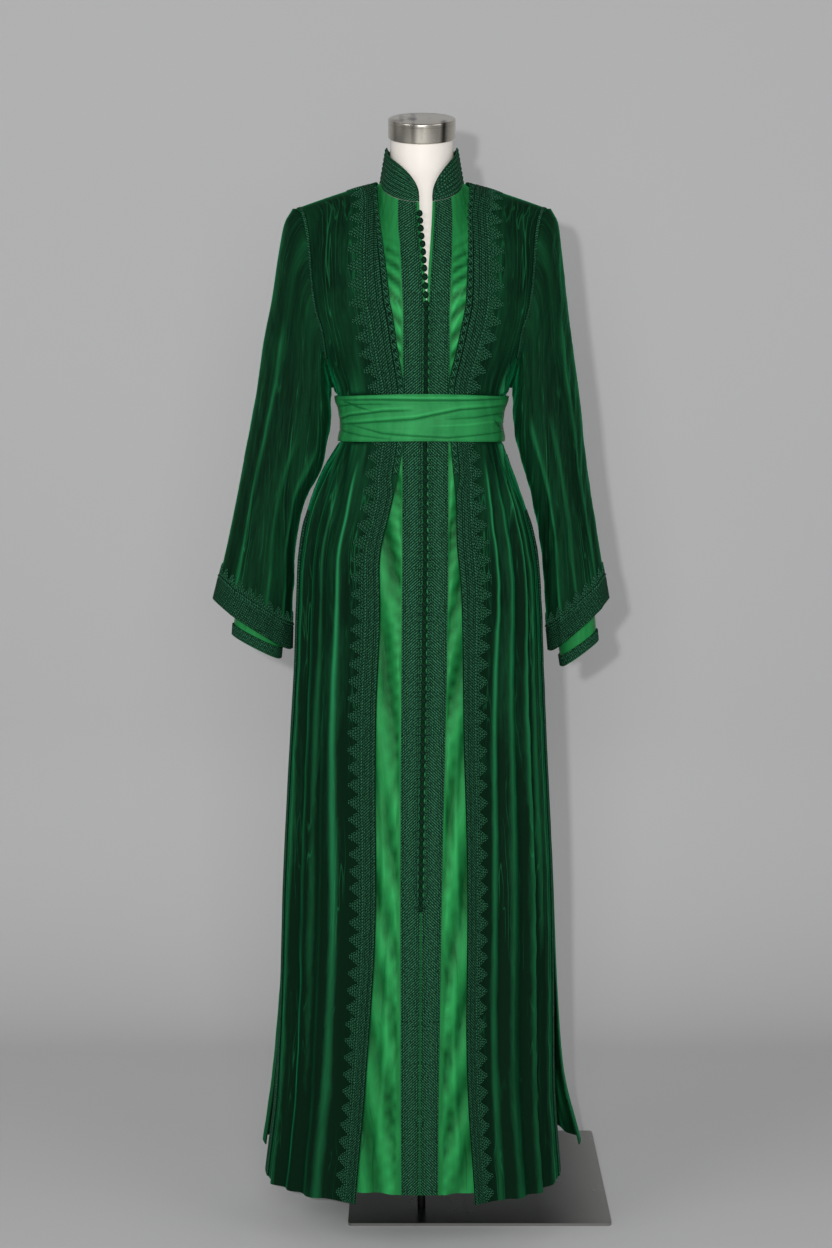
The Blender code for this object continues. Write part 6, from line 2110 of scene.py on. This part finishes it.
FINISHES = (
    VelvetFinish("velvet", (0.0014, 0.0140, 0.0056), (0.015, 0.190, 0.066)),
    SatinFinish("satin", (0.003, 0.070, 0.015), (0.028, 0.345, 0.089), 0.32, 0.32),
    SatinFinish("sash_satin", (0.006, 0.110, 0.028), (0.034, 0.325, 0.092), 0.38, 0.0),
    CordFinish("braid", (0.0022, 0.0150, 0.0072), (0.042, 0.190, 0.096)),
    SkinFinish("form_skin", (0.83, 0.78, 0.72)),
    # cap: its dark noise patches are painted reflection
    SteelFinish(
        "cap_steel", (0.72, 0.68, 0.60), 0.20, (900.0, 900.0, 14.0), (60.0, 20.0, 1.0), 0.10,
        (0.8, 0.8, 0.7), 1.0, 0.0
    ),
    # plate: its dark greenish colour is painted reflection of the dark green kaftan, the lighter colour right
    # of X = 0.17 painted reflection of the pale wall, and below 4.2 mm a painted highlight on its rim
    SteelFinish(
        "plate_steel", (0.045, 0.055, 0.046), 0.22, (24.0, 700.0, 24.0), (6.0, 6.0, 6.0), 0.60,
        (0.34, 0.34, 0.32), 0.17, 0.0042
    ),
)

FRONT_EDGE_CORDS = (Cord(0.028, 0.050, 0.0013), Cord(0.080, 0.050, 0.0011), Cord(0.132, 0.048, 0.0011))
FRONT_STITCHED_CORDS = tuple(Cord(0.208 + 0.058 * number, 0.052, 0.0011) for number in range(4))
FRONT_CORDS = FRONT_EDGE_CORDS + FRONT_STITCHED_CORDS + (Cord(0.470, 0.060, 0.0017),)
PLACKET_CORDS = tuple(Cord(0.046 + 0.0908 * number, 0.086, 0.0013) for number in range(11))
CUFF_CORDS = (
    *(Cord(0.030 + 0.060 * number, 0.054, 0.0011) for number in range(10)),
    Cord(0.66, 0.060, 0.0016),
)
SLIT_CORDS = (
    *(Cord(0.10 + 0.15 * number, 0.125, 0.0011) for number in range(5)),
    Cord(0.92, 0.10, 0.0015),
)
ARMHOLE_CORDS = (Cord(0.28, 0.50, 0.0008), Cord(0.78, 0.40, 0.0006))
DRESS_CUFF_CORDS = tuple(Cord(0.08 + 0.14 * number, 0.125, 0.0012) for number in range(7))


def lattice(braid: Braid, low: float, high: float, pitch: float, rows: int) -> list[Shape]:
    """Knotwork beside a braid: triangles of small loops, with a row of loops and a cord at their feet.

    Args:
        braid: Braid whose outer part the knotwork fills.
        low: Share where it starts.
        high: Share where it ends.
        pitch: Length of one repeat.
        rows: Rows of loops in a triangle.

    Returns:
        The knotwork's shapes.
    """
    return [
        braid.lace(low + 0.02, high, pitch, rows, 0.0008),
        braid.loops(low - 0.04, pitch / rows, (0.0016, pitch / rows * 0.42), 0.0008),
        braid.straight(low - 0.10, 0.0009),
    ]


def dress_robe(workshop: Workshop, robe: Robe) -> None:
    """Make the robe's panels, sleeves, braids and buttons.

    Args:
        workshop: Maker of pieces.
        robe: Robe's sizes.
    """
    back, back_tone = robe.back()
    back_piece = workshop.cloth("velvet_back", walled(back, robe.wall, back_tone), "velvet", "robe_back")
    declare_cloth(back)
    sleeves = Sleeves(ROBE_SLEEVES, UNDERARM, 0.0030, 8.0)
    for side in Side:
        word = side.word
        panel = robe.front(side)
        shape = walled(panel.cloth, robe.wall, panel.tone)
        front = workshop.cloth("velvet_front_" + word, shape, "velvet", "robe_front_" + word)

        braid = robe.front_braid(panel, side)
        shapes = [braid.strip(FRONT_CORDS, 0.0, 0.505, 0.004)] + lattice(braid, 0.50, 1.0, robe.picots, 5)
        going = [workshop.cords("front_braid_" + word, shapes, "robe_front_braid_" + word)]

        edge = panel.inner_edge()
        line, levels = edge.line(), robe.levels
        start = float(np.interp(robe.button_end, levels, line))
        chain = Braid(edge, start, line[-1] - 0.010, np.zeros(len(line)), np.full(len(line), 0.008))
        flat = under_sash(levels)
        shapes = [chain.knots(0.5, 0.012, robe.button, flat)]
        shapes += [chain.straight(0.18, 0.0007), chain.straight(0.86, 0.0007)]
        going.append(workshop.cords("edge_buttons_" + word, shapes, "robe_buttons_" + word))

        edge = panel.outer_edge()
        line = edge.line()
        stop = float(np.interp(SLIT_TOP, levels, line))
        whole = np.ones(len(line))
        slit = Braid(edge, 0.001, stop, whole * 0.0008, whole * (SLIT_BRAID - 0.002))
        shapes = [slit.strip(SLIT_CORDS, 0.0, 1.0, 0.005)]
        going.append(workshop.cords("slit_braid_" + word, shapes, "robe_slit_braid_" + word))
        start = float(np.interp(UNDERARM + 1.0, levels, line))
        armhole = Braid(edge, start, line[-1] - 0.003, whole * 0.0008, whole * ARMHOLE_BRAID * 0.25)
        shapes = [armhole.strip(ARMHOLE_CORDS, 0.0, 1.0, 0.003)]
        going.append(
            workshop.cords("armhole_braid_" + word, shapes, "robe_armhole_braid_" + word)
        )
        declare_cloth(panel.cloth)

        seam = sleeves.loop(panel.cloth, back, (levels, robe.back_levels), side)
        surface, tone = sleeves.sewn(side, seam, SLEEVE_RIDGES[side], 71 + side.value)
        shape = walled(surface, robe.wall, tone)
        sleeve = workshop.cloth("velvet_sleeve_" + word, shape, "velvet", "robe_sleeve_" + word)
        mouth = sleeves.mouth(surface)
        line = mouth.line()
        whole = np.ones(len(line))
        cuff = Braid(mouth, 0.0, line[-1], whole * 0.0008, whole * 0.052)
        shapes = [cuff.strip(CUFF_CORDS, 0.0, 0.70, 0.003)] + lattice(cuff, 0.70, 1.0, 0.018, 4)
        band = workshop.cords("cuff_braid_" + word, shapes, "robe_cuff_braid_" + word)
        declare_cloth(surface)


def under_sash(levels: Numbers) -> Numbers:
    """Share of a button's depth at each level: the loops lie flat under the sash."""
    into, out = ease((levels - SASH_LOW + 0.5) / 0.4), ease((levels - SASH_HIGH - 0.1) / 0.4)
    return 1.0 - 0.70 * into * (1.0 - out)


def dress_kaftan(workshop: Workshop, kaftan: InnerKaftan) -> None:
    """Make the inner kaftan's panels, sleeves, collar, braids and buttons.

    Args:
        workshop: Maker of pieces.
        kaftan: Inner kaftan's sizes.
    """
    back = kaftan.back()
    back_piece = workshop.cloth("satin_back", walled(back, kaftan.wall), "satin", "dress_back")
    declare_cloth(back)
    sleeves = Sleeves(DRESS_SLEEVES, UNDERARM, 0.0, 8.6, sides=64, zone=16)
    levels = kaftan.levels
    collar, cords = kaftan.collar()
    uv = np.stack([lengths(collar.points, 0), lengths(collar.points, 1)], axis=-1)
    collar_shape = walled(collar, COLLAR_WALL - 0.0006, cords, uv)
    collar_piece = workshop.cloth("stand_collar", collar_shape, "braid", "dress_collar")
    for side in Side:
        word = side.word
        panel = kaftan.front(side)
        shape = walled(panel.cloth, kaftan.wall, panel.tone)
        front = workshop.cloth("satin_front_" + word, shape, "satin", "dress_front_" + word)
        braid = kaftan.placket_braid(panel)
        shapes = [braid.strip(PLACKET_CORDS, 0.0, 1.0, 0.004)]
        going = [workshop.cords("placket_braid_cords_" + word, shapes, "placket_braid_" + word)]
        if side is Side.LEFT:
            line = kaftan.button_line(panel)
            flat = under_sash(levels)
            closed = kaftan.closed_part(line)
            shapes = [line.knots(0.0, 0.012, kaftan.button, flat, 0.10), closed.straight(0.1, 0.0027, 0.05)]
            for share in (-1.4, 1.4):
                shapes.append(closed.loops(share, 0.012, (0.0024, 0.0046), 0.0007, 0.5, 0.0031))
            going.append(workshop.cords("placket_knots", shapes, "placket_buttons"))
        declare_cloth(panel.cloth)
        seam = sleeves.loop(panel.cloth, back, (levels, levels), side)
        surface, tone = sleeves.sewn(side, seam, (), 81 + side.value)
        shape = walled(surface, kaftan.wall, tone)
        sleeve = workshop.cloth("satin_sleeve_" + word, shape, "satin", "dress_sleeve_" + word)
        mouth = sleeves.mouth(surface)
        whole = np.ones(len(mouth.line()))
        cuff = Braid(mouth, 0.0, mouth.line()[-1], whole * 0.0008, whole * 0.017)
        shapes = [cuff.strip(DRESS_CUFF_CORDS, 0.0, 1.0, 0.003)]
        band = workshop.cords("satin_cuff_braid_" + word, shapes, "dress_cuff_braid_" + word)
        declare_cloth(surface)
    declare_cloth(collar)


def main() -> None:
    """Build every sub-assembly in order."""
    logging.basicConfig(level=logging.INFO, format="%(name)s %(message)s")
    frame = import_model()
    effects = Effects()
    workshop = Workshop(effects, FINISHES)
    robe, kaftan, form = Robe(), InnerKaftan(), DressForm()
    workshop.adopt("form_torso", form.body(kaftan), "form_skin", "form_skin", ["form_body"])
    workshop.adopt("turned_cap", form.cap(), "cap_steel", "brushed_steel", ["neck_cap"])
    for name in ("base_plate", "stand_pole"):
        node = frame["nodes"][name]
        node.data.materials.clear()
        node.data.materials.append(workshop.materials["plate_steel"])
    dress_kaftan(workshop, kaftan)
    dress_robe(workshop, robe)
    surface, tone = Sash().surface(robe)
    sash = workshop.cloth("satin_sash", walled(surface, SASH_WALL, tone), "sash_satin", "sash")
    declare_cloth(surface)
    studio = Studio()
    studio.camera()
    studio.backdrop()
    studio.lights()
    total = sum(len(piece.data.polygons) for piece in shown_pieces() if piece.type == "MESH")
    LOG.info("%d faces in all", total)


if __name__ == "__main__":
    main()
